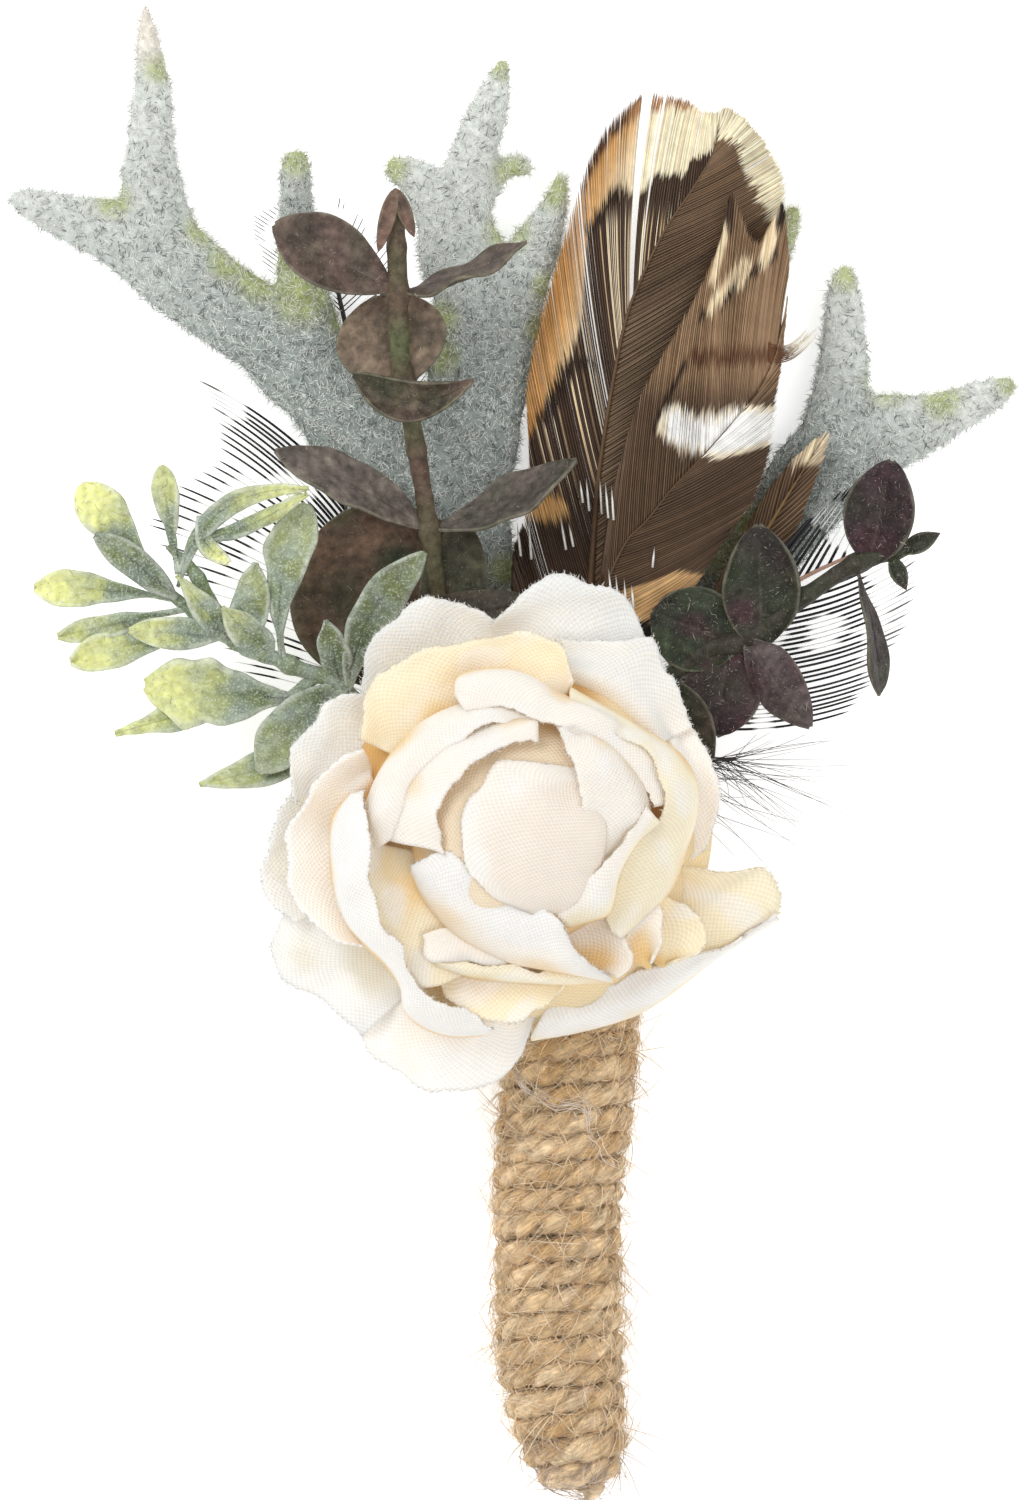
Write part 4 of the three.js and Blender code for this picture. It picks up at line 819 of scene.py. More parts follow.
# Each limb's stations: x, y, z, half width and half height. "webs" are the greenest places and "pale" the
# cream ones, as x, y and radius. From the share "start" of the way to its tips the flock turns whiter.
ANTLERS = {
    "antler_leaf_left": {
        "slot": "antler_left",
        "start": 0.56,
        "limbs": [
            [(-1.3, -3.0, 4.1, 1.3, 1.1), (-5.8, 10.3, 4.1, 2.2, 1.2), (-8.4, 17.9, 4.1, 3.0, 1.3),
             (-11.6, 24.0, 4.0, 3.8, 1.3), (-15.4, 31.2, 4.0, 4.6, 1.3), (-19.0, 36.0, 4.0, 4.9, 1.3),
             (-23.4, 39.8, 3.8, 4.4, 1.3), (-27.8, 42.6, 3.5, 3.9, 1.3), (-33.7, 47.2, 2.9, 4.2, 1.3),
             (-37.9, 49.3, 2.2, 3.1, 1.2), (-41.8, 50.5, 1.6, 2.4, 1.1), (-45.6, 51.9, 1.1, 1.6, 0.9),
             (-48.0, 52.7, 0.8, 0.6, 0.5)],
            [(-33.0, 46.0, 3.0, 3.9, 1.2), (-34.3, 53.0, 3.0, 3.2, 1.3), (-34.4, 59.0, 3.1, 2.2, 1.3),
             (-34.3, 63.8, 3.5, 1.6, 1.2), (-34.7, 68.0, 4.1, 1.0, 0.8), (-35.0, 71.0, 4.6, 0.3, 0.3)],
            [(-18.6, 37.0, 4.0, 3.2, 1.2), (-20.0, 44.6, 4.0, 2.4, 1.3), (-20.5, 50.6, 4.3, 1.6, 1.2),
             (-20.6, 55.2, 4.7, 1.5, 1.1), (-20.4, 57.0, 4.9, 0.9, 0.7)],
        ],
        "webs": [(-24.0, 45.0, 2.8), (-26.8, 46.6, 2.4), (-29.4, 49.6, 2.0), (-22.0, 46.4, 2.4),
                 (-38.0, 52.4, 2.0), (-20.5, 56.4, 2.2), (-15.4, 41.0, 2.4), (-33.6, 65.0, 1.8),
                 (-20.0, 43.4, 3.4), (-8.0, 30.0, 2.4)],
        "pale": [(-35.0, 69.5, 4.5)],
    },
    "antler_leaf_centre": {
        "slot": "antler_centre",
        "start": 0.56,
        "limbs": [
            [(2.6, -3.0, 3.6, 1.2, 1.1), (-1.5, 9.5, 3.5, 2.2, 1.2), (-3.1, 17.9, 3.3, 3.4, 1.2),
             (-4.1, 24.0, 3.2, 4.2, 1.3), (-4.2, 30.3, 3.2, 5.1, 1.3), (-2.8, 37.0, 3.4, 4.9, 1.3),
             (-3.4, 43.6, 3.4, 4.3, 1.3), (-5.2, 49.3, 3.4, 3.8, 1.3), (-3.7, 56.4, 3.9, 2.2, 1.3),
             (-2.2, 60.7, 4.5, 1.8, 1.2), (-1.3, 63.5, 5.0, 1.3, 0.9), (-0.7, 65.7, 5.4, 0.5, 0.5)],
            [(-5.6, 49.5, 3.4, 3.4, 1.2), (-8.2, 53.6, 3.2, 2.3, 1.1), (-10.6, 55.2, 3.1, 1.5, 1.0),
             (-11.9, 55.8, 3.1, 0.8, 0.7)],
            [(-1.6, 38.5, 3.4, 3.8, 1.2), (2.2, 47.6, 3.5, 2.4, 1.2), (4.1, 51.8, 4.0, 1.3, 1.0),
             (4.9, 54.9, 4.6, 0.6, 0.6)],
            [(-3.6, 51.5, 2.9, 1.4, 0.9), (-1.0, 55.2, 2.6, 1.1, 0.8), (1.2, 55.6, 2.6, 0.9, 0.8),
             (1.2, 54.6, 2.6, 0.4, 0.4)],
        ],
        "webs": [(-0.3, 49.4, 2.4), (4.3, 53.2, 2.2), (-0.8, 65.0, 1.6), (-6.8, 41.0, 2.0), (-6.8, 37.4, 2.0),
                 (0.0, 55.0, 2.0), (-11.4, 55.4, 1.8), (2.8, 40.0, 1.6), (3.4, 44.0, 1.6), (-0.6, 17.0, 1.8)],
        "pale": [],
    },
    "antler_leaf_right": {
        "slot": "antler_right",
        "start": 0.66,
        "limbs": [
            [(12.2, -3.0, 3.6, 1.2, 1.1), (17.0, 7.5, 3.2, 2.0, 1.2), (21.7, 15.1, 3.0, 3.0, 1.3),
             (26.6, 22.4, 3.0, 4.2, 1.3), (30.9, 27.9, 2.8, 4.5, 1.3), (35.6, 30.0, 2.3, 3.8, 1.3),
             (40.0, 31.3, 1.7, 2.8, 1.2), (44.0, 33.0, 1.3, 2.0, 1.1), (47.0, 34.4, 0.9, 1.3, 0.8),
             (48.1, 34.9, 0.8, 0.6, 0.5)],
            [(30.6, 27.5, 2.9, 3.6, 1.2), (31.6, 36.0, 3.2, 2.5, 1.3), (31.7, 40.7, 3.7, 1.9, 1.2),
             (31.7, 44.2, 4.3, 1.4, 1.1), (31.9, 46.1, 4.7, 0.6, 0.6)],
            [(16.4, 6.5, 3.2, 1.7, 1.1), (18.6, 19.0, 2.7, 2.4, 1.2), (20.8, 32.0, 2.4, 2.1, 1.2),
             (24.0, 43.6, 2.4, 1.6, 1.1), (26.5, 50.0, 2.6, 1.1, 0.9), (27.1, 51.8, 2.8, 0.5, 0.5)],
        ],
        "webs": [(36.0, 35.0, 2.6), (47.6, 35.0, 1.6), (31.8, 45.0, 1.8), (21.0, 20.0, 4.5),
                 (27.0, 50.0, 4.0), (41.0, 33.4, 2.2)],
        "pale": [],
    },
}


def antler_body(slot, limbs):
    """Elliptic limbs along splines through their stations, fused by a voxel remesh and relaxed, so that
    they web together in the forks. Returns the skin's points in mm and its quads."""
    pile = Pile()
    for k, stations in enumerate(limbs):
        stations = rooted(slot, stations) if k == 0 else stations
        line = spline(stations, 16 * len(stations))
        path, size = line[:, :3], np.maximum(line[:, 3:], 0.25)
        wobble = 1 + 0.05 * ripple(path, 6.0, 30 + k)
        tube(pile, path, size[:, 0] * wobble, size[:, 1], 28, (1, 1, 1))
    rough = pile.build("limbs", None)
    remesh = rough.modifiers.new("fuse", "REMESH")
    remesh.mode, remesh.voxel_size = "VOXEL", VOXEL * MM
    relax = rough.modifiers.new("relax", "SMOOTH")
    relax.factor, relax.iterations = 0.6, 7
    baked = rough.evaluated_get(bpy.context.evaluated_depsgraph_get()).to_mesh()
    points = np.empty(len(baked.vertices) * 3, np.float32)
    baked.vertices.foreach_get("co", points)
    corners = np.empty(len(baked.loops), np.int32)
    baked.loops.foreach_get("vertex_index", corners)
    points, quads = points.reshape(-1, 3) / MM, corners.reshape(-1, 4)
    bpy.data.objects.remove(rough)
    return points.astype(float), quads


def spread_over(points, quads, density, rng):
    """Random places on a skin of quads, density to a square mm: points in its triangles, with normals."""
    faces = np.concatenate([quads[:, [0, 1, 2]], quads[:, [0, 2, 3]]])
    a, b, c = (points[faces[:, k]] for k in range(3))
    cross = np.cross(b - a, c - a)
    area = np.linalg.norm(cross, axis=1) / 2
    count = int(area.sum() * density)
    pick = rng.choice(len(faces), count, p=area / area.sum())
    s, t = rng.uniform(size=(2, count, 1))
    s, t = np.where(s + t > 1, 1 - s, s), np.where(s + t > 1, 1 - t, t)
    return a[pick] + s * (b - a)[pick] + t * (c - a)[pick], unit(cross[pick])


def paleness(points, start):
    """How near to white the flock is: 0.45 up to the share start of the way from the bloom's axis to the
    leaf's farthest point, and 0.92 over the last twentieth. This is partly the flock's own whiter tips and
    partly painted shade, darker towards the bloom."""
    out = np.hypot(points[:, 0] - BLOOM[0], points[:, 1] - BLOOM[1])
    return 0.45 + 0.47 * step(start, 0.95, out / out.max())


def make_antler(name, settings, seed):
    """One flocked antler leaf: its skin, and a coat of short straight fibres that lie over it every way."""
    plan = ANTLERS[name]
    rng = np.random.default_rng(seed)
    points, quads = antler_body(plan["slot"], plan["limbs"])
    skin, web, silver = (np.array(getattr(settings, key)) for key in ("skin", "web", "silver"))
    # Skin and flock are darker towards the bloom: partly their own tone, partly painted shade.
    tint = mix(skin, silver, 1.2 * paleness(points, plan["start"]) - 0.45)
    tint = mix(tint, web, 0.8 * nearness(points, plan["webs"]))
    tint = mix(tint, srgb("#efe9dc"), nearness(points, plan["pale"]))
    body = Pile()
    body.add(points, quads, tint=tint)
    attach(body.build(name + "_skin", once(flocked_plastic)), "flocking", name)

    root, normal = spread_over(points, quads, settings.fibre_density, rng)
    root, normal = root[:MOST_FIBRES], normal[:MOST_FIBRES]
    count = len(root)
    clump = np.stack([ripple(root, 1.6, seed + k) for k in (1, 2, 3)], -1)
    lie = rng.normal(size=(count, 3)) + 0.9 * clump
    lie = unit(lie - (lie * normal).sum(-1, keepdims=True) * normal)
    aim = unit(lie + normal * rng.uniform(0.15, 0.7, (count, 1)))
    reach = settings.fibre * rng.uniform(0.6, 1.35, (count, 1))
    lines = np.stack([root - normal * 0.08, root + aim * reach], 1)
    green = nearness(root, plan["webs"])
    pale = paleness(root, plan["start"])
    dark = rng.uniform(size=count) + 0.12 * ripple(root, 0.6, seed + 7) < 0.42 - 0.34 * pale
    shade = np.where(dark, 0.05, 0.85 + 0.15 * pale) + rng.normal(0, 0.12, count)
    # Painted rim light: fibres are lighter where the skin turns edge-on, along the leaf's outline, less so
    # near the bloom.
    shade += 1.2 * (pale - 0.4) * step(0.5, 0.1, np.abs(normal[:, 2]))
    tint = mix(mix(srgb("#5f6a66"), silver, shade), mix(web, srgb("#f2f4dc"), shade), 0.7 * green)
    tint = mix(tint, srgb("#f4efe6"), nearness(root, plan["pale"]))
    coat = Pile()
    flock_spikes(coat, lines, 0.062, tint, rng)
    attach(coat.build(name + "_flock", once(flock_fibre)), "flocking", name)


def flock_spikes(pile, lines, width, tint, rng):
    """Straight fibres as three-sided spikes, open where they are sunk in the skin."""
    count = len(lines)
    aim = unit(lines[:, 1] - lines[:, 0])
    side = unit(np.cross(aim, rng.normal(size=(count, 3))))
    other = np.cross(aim, side)
    a = TURN * np.arange(3) / 3
    ring = lines[:, 0][:, None] + width * (
        np.cos(a)[None, :, None] * side[:, None] + np.sin(a)[None, :, None] * other[:, None])
    points = np.concatenate([ring, lines[:, 1:]], axis=1)
    faces = np.array([[0, 1, 3], [1, 2, 3], [2, 0, 3]])[None] + (np.arange(count) * 4)[:, None, None]
    pile.add(points, (), faces, np.repeat(tint, 4, axis=0))


# Eucalyptus leaves: foot, tip, width, roll, cup, bend, sway, shape, tone, and how green. Places in mm.
PLUM_LEAVES = {
    "eucalyptus_top": [
        ((-11.2, 43.4, 14.2), (-22.4, 49.6, 15.4), 6.8, -8, 0.10, 0.04, 0.0, (1.25, 0.62), "#66544d", 0.15),
        ((-10.6, 43.2, 14.2), (1.4, 47.9, 17.0), 5.6, 68, 0.06, -0.12, 0.0, (1.1, 0.8), "#584a42", 0.15),
        ((-10.2, 34.6, 12.6), (-12.6, 43.0, 10.6), 10.6, 0, 0.04, 0.02, 0.0, (1.0, 0.5), "#82705f", 0.1),
        ((-15.0, 35.3, 15.0), (-3.6, 34.9, 16.4), 3.9, 0, 0.2, 0.02, 0.4, (0.8, 0.75), "#5c4d42", 0.35),
        ((-7.9, 20.7, 11.4), (-22.4, 28.2, 13.2), 5.8, -42, 0.08, 0.10, 0.0, (1.2, 0.7), "#6d645d", 0.15),
        ((-7.4, 20.7, 11.4), (6.2, 27.2, 14.4), 6.0, 50, 0.08, -0.12, 0.0, (1.2, 0.72), "#5d554f", 0.2),
        ((-8.6, 6.2, 8.7), (-15.4, 22.8, 7.6), 18.4, 0, 0.0, 0.0, 0.0, (1.0, 0.5), "#6c5544", 0.45),
        ((-6.6, 8.0, 10.0), (-4.6, 21.4, 9.0), 6.4, 0, 0.0, 0.0, 0.0, (1.0, 0.5), "#504b3a", 0.6),
        ((-9.4, 12.6, 10.4), (1.8, 14.0, 13.0), 4.6, 10, -0.08, 0.05, 0.1, (0.9, 0.6), "#4d4339", 0.3),
        ((-11.0, 53.0, 15.4), (-12.6, 47.0, 15.9), 1.5, 0, 0.1, 0.1, 0.0, (0.8, 0.6), "#7a5d52", 0.2),
        ((-11.0, 53.0, 15.4), (-9.2, 48.4, 15.7), 1.4, 0, 0.1, 0.1, 0.0, (0.8, 0.6), "#7a5d52", 0.2),
    ],
    "eucalyptus_right": [
        ((33.9, 17.4, 13.8), (36.0, 27.2, 16.0), 6.8, 10, 0.10, 0.05, 0.0, (1.0, 0.6), "#33262a", 0.1),
        ((32.6, 17.4, 13.8), (34.8, 5.0, 14.8), 3.8, 62, 0.05, 0.08, 0.0, (1.9, 0.8), "#453b3c", 0.2),
        ((36.4, 18.4, 14.2), (40.6, 20.4, 15.2), 1.8, 0, 0.1, 0.1, 0.0, (1.1, 0.9), "#2d2d27", 0.5),
        ((35.8, 18.6, 14.0), (37.4, 15.0, 14.8), 1.6, 0, 0.1, 0.1, 0.0, (1.1, 0.9), "#2d3027", 0.5),
        ((23.6, 9.6, 12.2), (23.4, 21.2, 15.2), 7.4, -8, 0.10, 0.04, 0.0, (0.95, 0.62), "#2e2727", 0.3),
        ((22.4, 10.6, 12.3), (28.2, 2.0, 14.2), 5.2, -20, -0.12, 0.10, 0.0, (1.0, 0.8), "#54484a", 0.1),
        ((21.6, 9.6, 11.8), (13.4, 13.0, 10.4), 8.2, 0, 0.05, 0.04, 0.0, (1.0, 0.55), "#232621", 0.55),
        ((20.6, 9.8, 11.6), (19.4, 1.2, 10.6), 7.4, 0, 0.05, 0.02, 0.0, (1.0, 0.55), "#35232a", 0.1),
        ((11.4, 6.6, 10.5), (18.4, -2.6, 12.4), 8.4, 0, 0.08, 0.04, 0.0, (1.0, 0.6), "#38332d", 0.3),
    ],
}
PLUM_STEMS = {
    "eucalyptus_top": [
        (-0.6, -11.0, 8.5), (-3.6, -5.0, 8.2), (-5.6, 4.0, 8.8), (-6.9, 14.0, 10.0), (-7.8, 20.8, 11.2),
        (-9.5, 31.2, 12.6), (-10.5, 37.0, 13.2), (-10.8, 45.0, 14.2), (-11.0, 52.6, 15.0)],
    "eucalyptus_right": [
        (10.6, -5.0, 9.8), (12.9, 4.0, 10.4), (17.9, 8.9, 11.2), (22.2, 10.4, 12.0), (27.4, 14.1, 13.0),
        (32.4, 17.4, 13.6), (36.4, 18.6, 14.0), (39.4, 19.3, 14.5)],
}
PLUM_RADII = {"eucalyptus_top": (0.8, 0.85, 0.8, 0.95, 0.9), "eucalyptus_right": (0.7, 0.7, 0.85, 0.8, 0.4)}


def linted(pile, surface, count, lift, width, code, seed):
    """Strews short pale hairs over a leaf: most lie on its upper face, lift mm over its middle."""
    rng = np.random.default_rng(seed)
    rows, columns, _ = surface.shape
    root = surface[rng.integers(2, rows - 2, count), rng.integers(1, columns - 1, count)]
    aim = rng.normal(size=(count, 1, 3)) * [1, 1, 0.15] * rng.uniform(0.05, 0.42, (count, 1, 1))
    up = np.where(rng.uniform(size=(count, 1, 1)) < 0.75, lift, -lift) * UP
    t = np.linspace(0, 1, 4)[None, :, None]
    hairs = root[:, None] + up + aim * (t - 0.5) + rng.normal(0, 0.12, (count, 1, 3)) * [1, 1, 0] * t ** 2
    thin = rng.uniform(0.2, 1.1, (count, 1)) * [width, width, width, 0.3 * width]
    strands(pile, hairs, thin, mix(srgb("#6d6b62"), srgb(code), rng.uniform(0, 1, (count, 1))))


def make_eucalyptus(name, settings, seed):
    """A sprig: its stem with a swelling at each pair of leaves, and its leaves of mottled plum cloth."""
    sprig = Pile()
    right = name == "eucalyptus_right"
    plum, moss = np.array(settings.plum), np.array(settings.moss)
    rings = 220
    stem = spline(rooted(name, PLUM_STEMS[name]), rings)
    radius = spline(PLUM_RADII[name], rings)
    knots = np.array([leaf[0] for leaf in PLUM_LEAVES[name]])
    apart = np.linalg.norm(stem[:, None] - knots[None], axis=2).min(1)
    radius = radius * (1 + 0.35 * np.exp(-(apart / 0.9) ** 2) + 0.06 * ripple(stem, 1.5, seed))
    taper = 1 - 0.5 * step(0.93, 1, np.linspace(0, 1, rings))
    tint = mix(srgb("#5b6242"), srgb("#5c483f"), 0.55 + 0.4 * ripple(stem, 6.0, seed + 1))
    tint = mix(tint, srgb("#2b2f28"), 0.75 * right)
    tube(sprig, stem, radius * taper, radius * taper, 16, tint)
    for k, (foot, tip, width, roll, cup, bend, sway, shape, tone, greens) in enumerate(PLUM_LEAVES[name]):
        big = width > 3
        rows, columns, wave = (44, 33, 0.3) if big else (16, 9, 0)
        surface = leaf_surface(
            foot, tip, width, shape, roll, cup, bend, sway, rows, columns, wave, seed=seed + k)
        u, v = leaf_grid(rows, columns)
        base = mix(srgb(tone), plum, 0.15)
        mottle = 0.5 * ripple(surface, 3.2, seed + 20 + k) + 0.4 * ripple(surface, 1.1, seed + 40 + k)
        patch = ripple(surface, 5.0, seed + 60 + k)
        tint = mix(base, moss, np.clip(greens * (1.3 - v) + 0.45 * patch * (greens + 0.25), 0, 0.9))
        tint = mix(tint, srgb("#4d2b33"), 0.35 * step(0.2, 1.2, -patch) * right)
        tint = tint * np.exp(0.42 * mottle)[..., None]
        tint = mix(tint, srgb("#7c7466"), 0.25 * np.exp(-(u / 0.05) ** 2) * (1 - v))
        rim = np.maximum(step(0.93, 1.0, np.abs(u)), step(0.975, 1.0, v))
        tint = mix(tint, srgb("#8f8d78"), 0.35 * rim)
        surface = leaf_veins(surface, 0.09, 1.7) if big else surface
        sheet(sprig, surface, 0.34, tint)
        hairs = int((22 if right else 10) * width)
        linted(sprig, surface, hairs, 0.24, 0.024, "#c9c4b6", seed + 80 + k)
    attach(sprig.build(name + "_sprig", once(printed_cloth_leaf)), "purple_leaf", name)


SPRAY_STEMS = [
    [(-4.0, -9.6, 7.8), (-11.0, -1.6, 9.0), (-15.8, 5.6, 10.4), (-21.0, 7.9, 11.4), (-26.3, 10.3, 12.2),
     (-30.5, 13.2, 12.8), (-33.2, 15.4, 13.2)],
    [(-27.0, 10.6, 12.0), (-29.6, 16.0, 12.8), (-32.6, 19.2, 13.2)],
    [(-18.4, 6.7, 10.8), (-21.2, 5.0, 11.2)],
    [(-14.2, 3.6, 10.0), (-18.4, -0.4, 10.8)],
]
# Leaves of the spray: foot, tip, width, roll, cup, bend, sway, shape, how lime its tip is.
SPRAY_LEAVES = [
    ((-33.0, 15.5, 13.1), (-40.8, 25.0, 14.6), 4.4, 0, 0.12, 0.08, 0.0, (2.5, 0.62), 1.0),
    ((-31.8, 14.2, 13.6), (-39.4, 20.2, 16.4), 3.0, 0, 0.18, 0.10, 0.05, (1.3, 0.6), 0.1),
    ((-31.6, 16.6, 13.0), (-33.2, 26.8, 15.0), 2.5, 0, 0.12, 0.08, 0.0, (2.8, 0.7), 0.55),
    ((-32.0, 14.2, 13.0), (-45.2, 15.2, 14.6), 3.6, 0, 0.12, 0.08, 0.04, (2.7, 0.62), 0.95),
    ((-31.0, 13.2, 12.6), (-43.0, 10.6, 14.0), 2.4, 0, 0.12, 0.06, 0.0, (1.9, 0.7), 0.5),
    ((-28.6, 11.4, 12.4), (-41.8, 8.2, 13.6), 3.5, 0, 0.14, 0.06, 0.03, (2.3, 0.62), 0.8),
    ((-26.8, 10.6, 12.4), (-36.2, 11.2, 15.2), 3.2, 0, 0.12, 0.20, 0.0, (1.5, 0.7), 0.6),
    ((-26.4, 9.9, 12.3), (-31.6, 16.4, 15.6), 2.6, 0, 0.20, 0.12, 0.0, (0.8, 0.9), 0.4),
    ((-19.4, 4.8, 11.0), (-34.7, 6.0, 13.4), 6.5, 8, 0.14, 0.08, -0.02, (2.0, 0.62), 0.75),
    ((-24.2, 5.3, 12.0), (-37.6, 1.4, 11.0), 2.9, 0, 0.12, 0.06, 0.0, (0.85, 1.0), 0.6),
    ((-17.8, 0.0, 10.7), (-29.6, -3.4, 11.8), 3.4, 0, 0.14, 0.08, -0.04, (0.9, 0.95), 0.5),
    ((-15.2, 6.6, 10.4), (-24.0, -2.2, 13.0), 5.6, -12, 0.14, 0.08, 0.06, (1.4, 0.62), 0.15),
    ((-15.6, 4.8, 10.6), (-8.2, 18.6, 14.2), 4.2, -10, 0.16, 0.08, -0.22, (1.5, 0.6), 0.1),
    ((-16.0, 5.6, 10.6), (-17.6, 12.2, 12.8), 3.0, 0, 0.14, 0.08, 0.0, (1.1, 0.8), 0.05),
    ((-21.6, 7.9, 11.6), (-19.4, 23.2, 14.2), 4.6, 0, 0.16, 0.08, -0.16, (2.6, 0.62), 0.2),
    ((-25.4, 9.2, 12.2), (-24.2, 17.6, 14.4), 3.6, 0, 0.14, 0.08, 0.0, (1.1, 0.8), 0.2),
    ((-22.8, 8.6, 11.8), (-27.4, 13.4, 14.6), 3.6, 0, 0.2, 0.1, 0.0, (0.8, 0.8), 0.35),
    ((-31.6, 15.4, 12.8), (-19.2, 24.6, 16.8), 1.9, 0, 0.14, 0.08, -0.40, (1.2, 0.5), 0.65),
    ((-30.6, 19.4, 13.8), (-19.4, 24.1, 16.6), 1.5, 0, 0.1, 0.05, 0.10, (1.2, 0.5), 0.6),
    ((-29.6, 22.0, 14.6), (-26.8, 17.6, 14.8), 1.7, 0, 0.1, 0.05, 0.30, (1.4, 0.5), 0.9),
]


def make_spray(settings, seed):
    """The frosted spray: knobbly stems and thick moulded paddles, limed at their tips and greyed by dust."""
    spray = Pile()
    green, lime = np.array(settings.spray_green), np.array(settings.lime)
    dusty = srgb("#929e90")
    for k, stations in enumerate(SPRAY_STEMS):
        stations = rooted("spray", stations) if k == 0 else stations
        path = spline(stations, 30 * len(stations))
        radius = (0.85 if k == 0 else 0.6) * (1 + 0.14 * ripple(path, 1.8, seed + k))
        radius *= 1 - 0.45 * step(0.7, 1, np.linspace(0, 1, len(path)))
        tube(spray, path, radius, radius, 14, mix(green, dusty, 0.6 + 0.4 * ripple(path, 2.0, seed)))
    for k, (foot, tip, width, roll, cup, bend, sway, shape, limed) in enumerate(SPRAY_LEAVES):
        rows, columns = 44, 17
        surface = leaf_surface(
            foot, tip, width, shape, roll, cup, bend, sway, rows, columns, wave=0.4, seed=seed + k,
            least=0.14, ragged=0.07)
        u, v = leaf_grid(rows, columns)
        mottle = ripple(surface, 2.2, seed + 30 + k)
        tint = mix(mix(dusty, green, 0.45 + 0.4 * mottle), lime, limed * step(0.38, 0.9, v + 0.06 * mottle))
        # Painted shade in each leaf's fold: darker down its middle, most towards its foot.
        middle = np.exp(-((u - 0.25 * mottle) / 0.25) ** 2)
        tint = mix(tint, srgb("#4e594a"), 0.75 * middle * step(0.8, 0.1, v))
        tint = tint * np.exp(0.09 * ripple(surface, 0.9, seed + 60 + k))[..., None]
        # Whiter at the rims and towards the foot: pale dust, and on the raised rims also a painted highlight.
        frost_and_rim_highlight = step(0.7, 1.0, np.abs(u)) * (0.6 + 0.4 * mottle) + 0.5 * step(0.35, 0.0, v)
        tint = mix(tint, srgb("#dde3d9"), 0.65 * np.clip(frost_and_rim_highlight, 0, 1)) * (0.8 if limed < 0.12 else 1.0)
        plump = 0.75 * (1 - 0.55 * np.abs(u) ** 2.5) * (0.6 + 0.4 * np.sin(np.pi * np.clip(v, 0.1, 0.8)))
        sheet(spray, leaf_veins(surface, 0.1, 3.0), plump, tint)
        linted(spray, surface, int(26 * width), 0.42, 0.026, "#e6eae2", seed + 90 + k)
    attach(spray.build("leafy_spray_sprig", once(frosted_plastic)), "green_leaf", "leafy_spray")


# ---- feathers ----
def stroked(tint, at, strokes):
    """Paints soft-edged strokes over tints, in order: each is a colour, its ends as x, y, x, y and its half
    width, all in mm. A place takes the colour where it is nearer to the stroke than that."""
    for colour, x0, y0, x1, y1, half in strokes:
        start, along = np.array([x0, y0]), np.array([x1 - x0, y1 - y0 + 1e-6])
        t = np.clip((at[..., :2] - start) @ along / (along @ along), 0, 1)
        apart = np.linalg.norm(at[..., :2] - start - t[..., None] * along, axis=-1)
        tint = mix(tint, colour, step(half + 0.18, half - 0.18, apart))
    return tint


def vane(pile, rachis, pairs, count, bow, lift, paint, rng, width=0.1, gaps=(), web=0.42, thin=0.0,
         slim=1.0):
    """One side of a vane. Each of its barbs leaves the rachis at a height y and arcs to its place on the
    rim; pairs gives y and the rim's x, y for some of them, and splines give the rest. Under the barbs lies
    a thin web, nearer to beige by the share web, unless web is 0. gaps are shares of the vane left bare.
    A barb thins by the share thin towards its tip, and to the share slim of its width where it is pale.
    Every second barb is darker, as the ones between catch the light."""
    share = np.clip((np.arange(count) + rng.uniform(-0.2, 0.2, count)) / (count - 1), 0, 1)
    keep = np.ones(count, bool)
    for low, high in gaps:
        keep &= ~((share > low) & (share < high))
    share = share[keep]
    count = len(share)
    keys = spline(pairs, 400)
    key = np.stack([np.interp(share * 399, np.arange(400), keys[:, k]) for k in range(3)], 1)
    root = np.stack([np.interp(key[:, 0], rachis[:, 1], rachis[:, k]) for k in range(3)], 1)
    rim = np.column_stack([key[:, 1:], root[:, 2] + lift + rng.normal(0, 0.02, count)])
    steps = 26
    t = np.linspace(0, 1, steps)[None, :, None]
    chord = rim - root
    length = np.linalg.norm(chord, axis=1)[:, None, None]
    chord = chord * (1 + rng.normal(0, 0.12, (count, 1)) / length[:, 0])
    bulge = unit(np.cross(chord, UP))[:, None]
    lines = root[:, None] + chord[:, None] * t + bow * bulge * length * t * (1 - t)
    lines[..., 2] += 0.35 * np.sin(np.pi * t[..., 0])
    drift = rng.normal(0, 0.3, (count, 1, 1)) * unit(chord)[:, None]
    tint = paint(lines + drift, np.broadcast_to(t[..., 0], (count, steps)), share[:, None])
    if web:
        under = lines - [0, 0, 0.09]
        soft = mix(tint, srgb("#b39a7c"), web)
        sheet(pile, under[:, :-1], 0.05, np.clip(soft[:, :-1], 0, 1))
    tint = np.clip(tint * np.exp(rng.normal(0, 0.2, (count, 1, 1))), 0.002, 1)
    tint = tint ** (1 + 0.22 * (-1.0) ** np.arange(count)[:, None, None])
    half = width * np.ones((count, steps))
    half = half * (1 - thin * t[..., 0]) * np.where(tint.mean(-1) < 0.3, 1.0, slim)
    half[:, -2:] *= [0.8, 0.4]
    strands(pile, lines, half, tint, height=0.7)


def quill(pile, line, radii, tint):
    """A feather's quill and rachis: a round tube that thins to its tip."""
    radius = spline(radii, len(line))
    tube(pile, line, radius, radius, 10, tint)


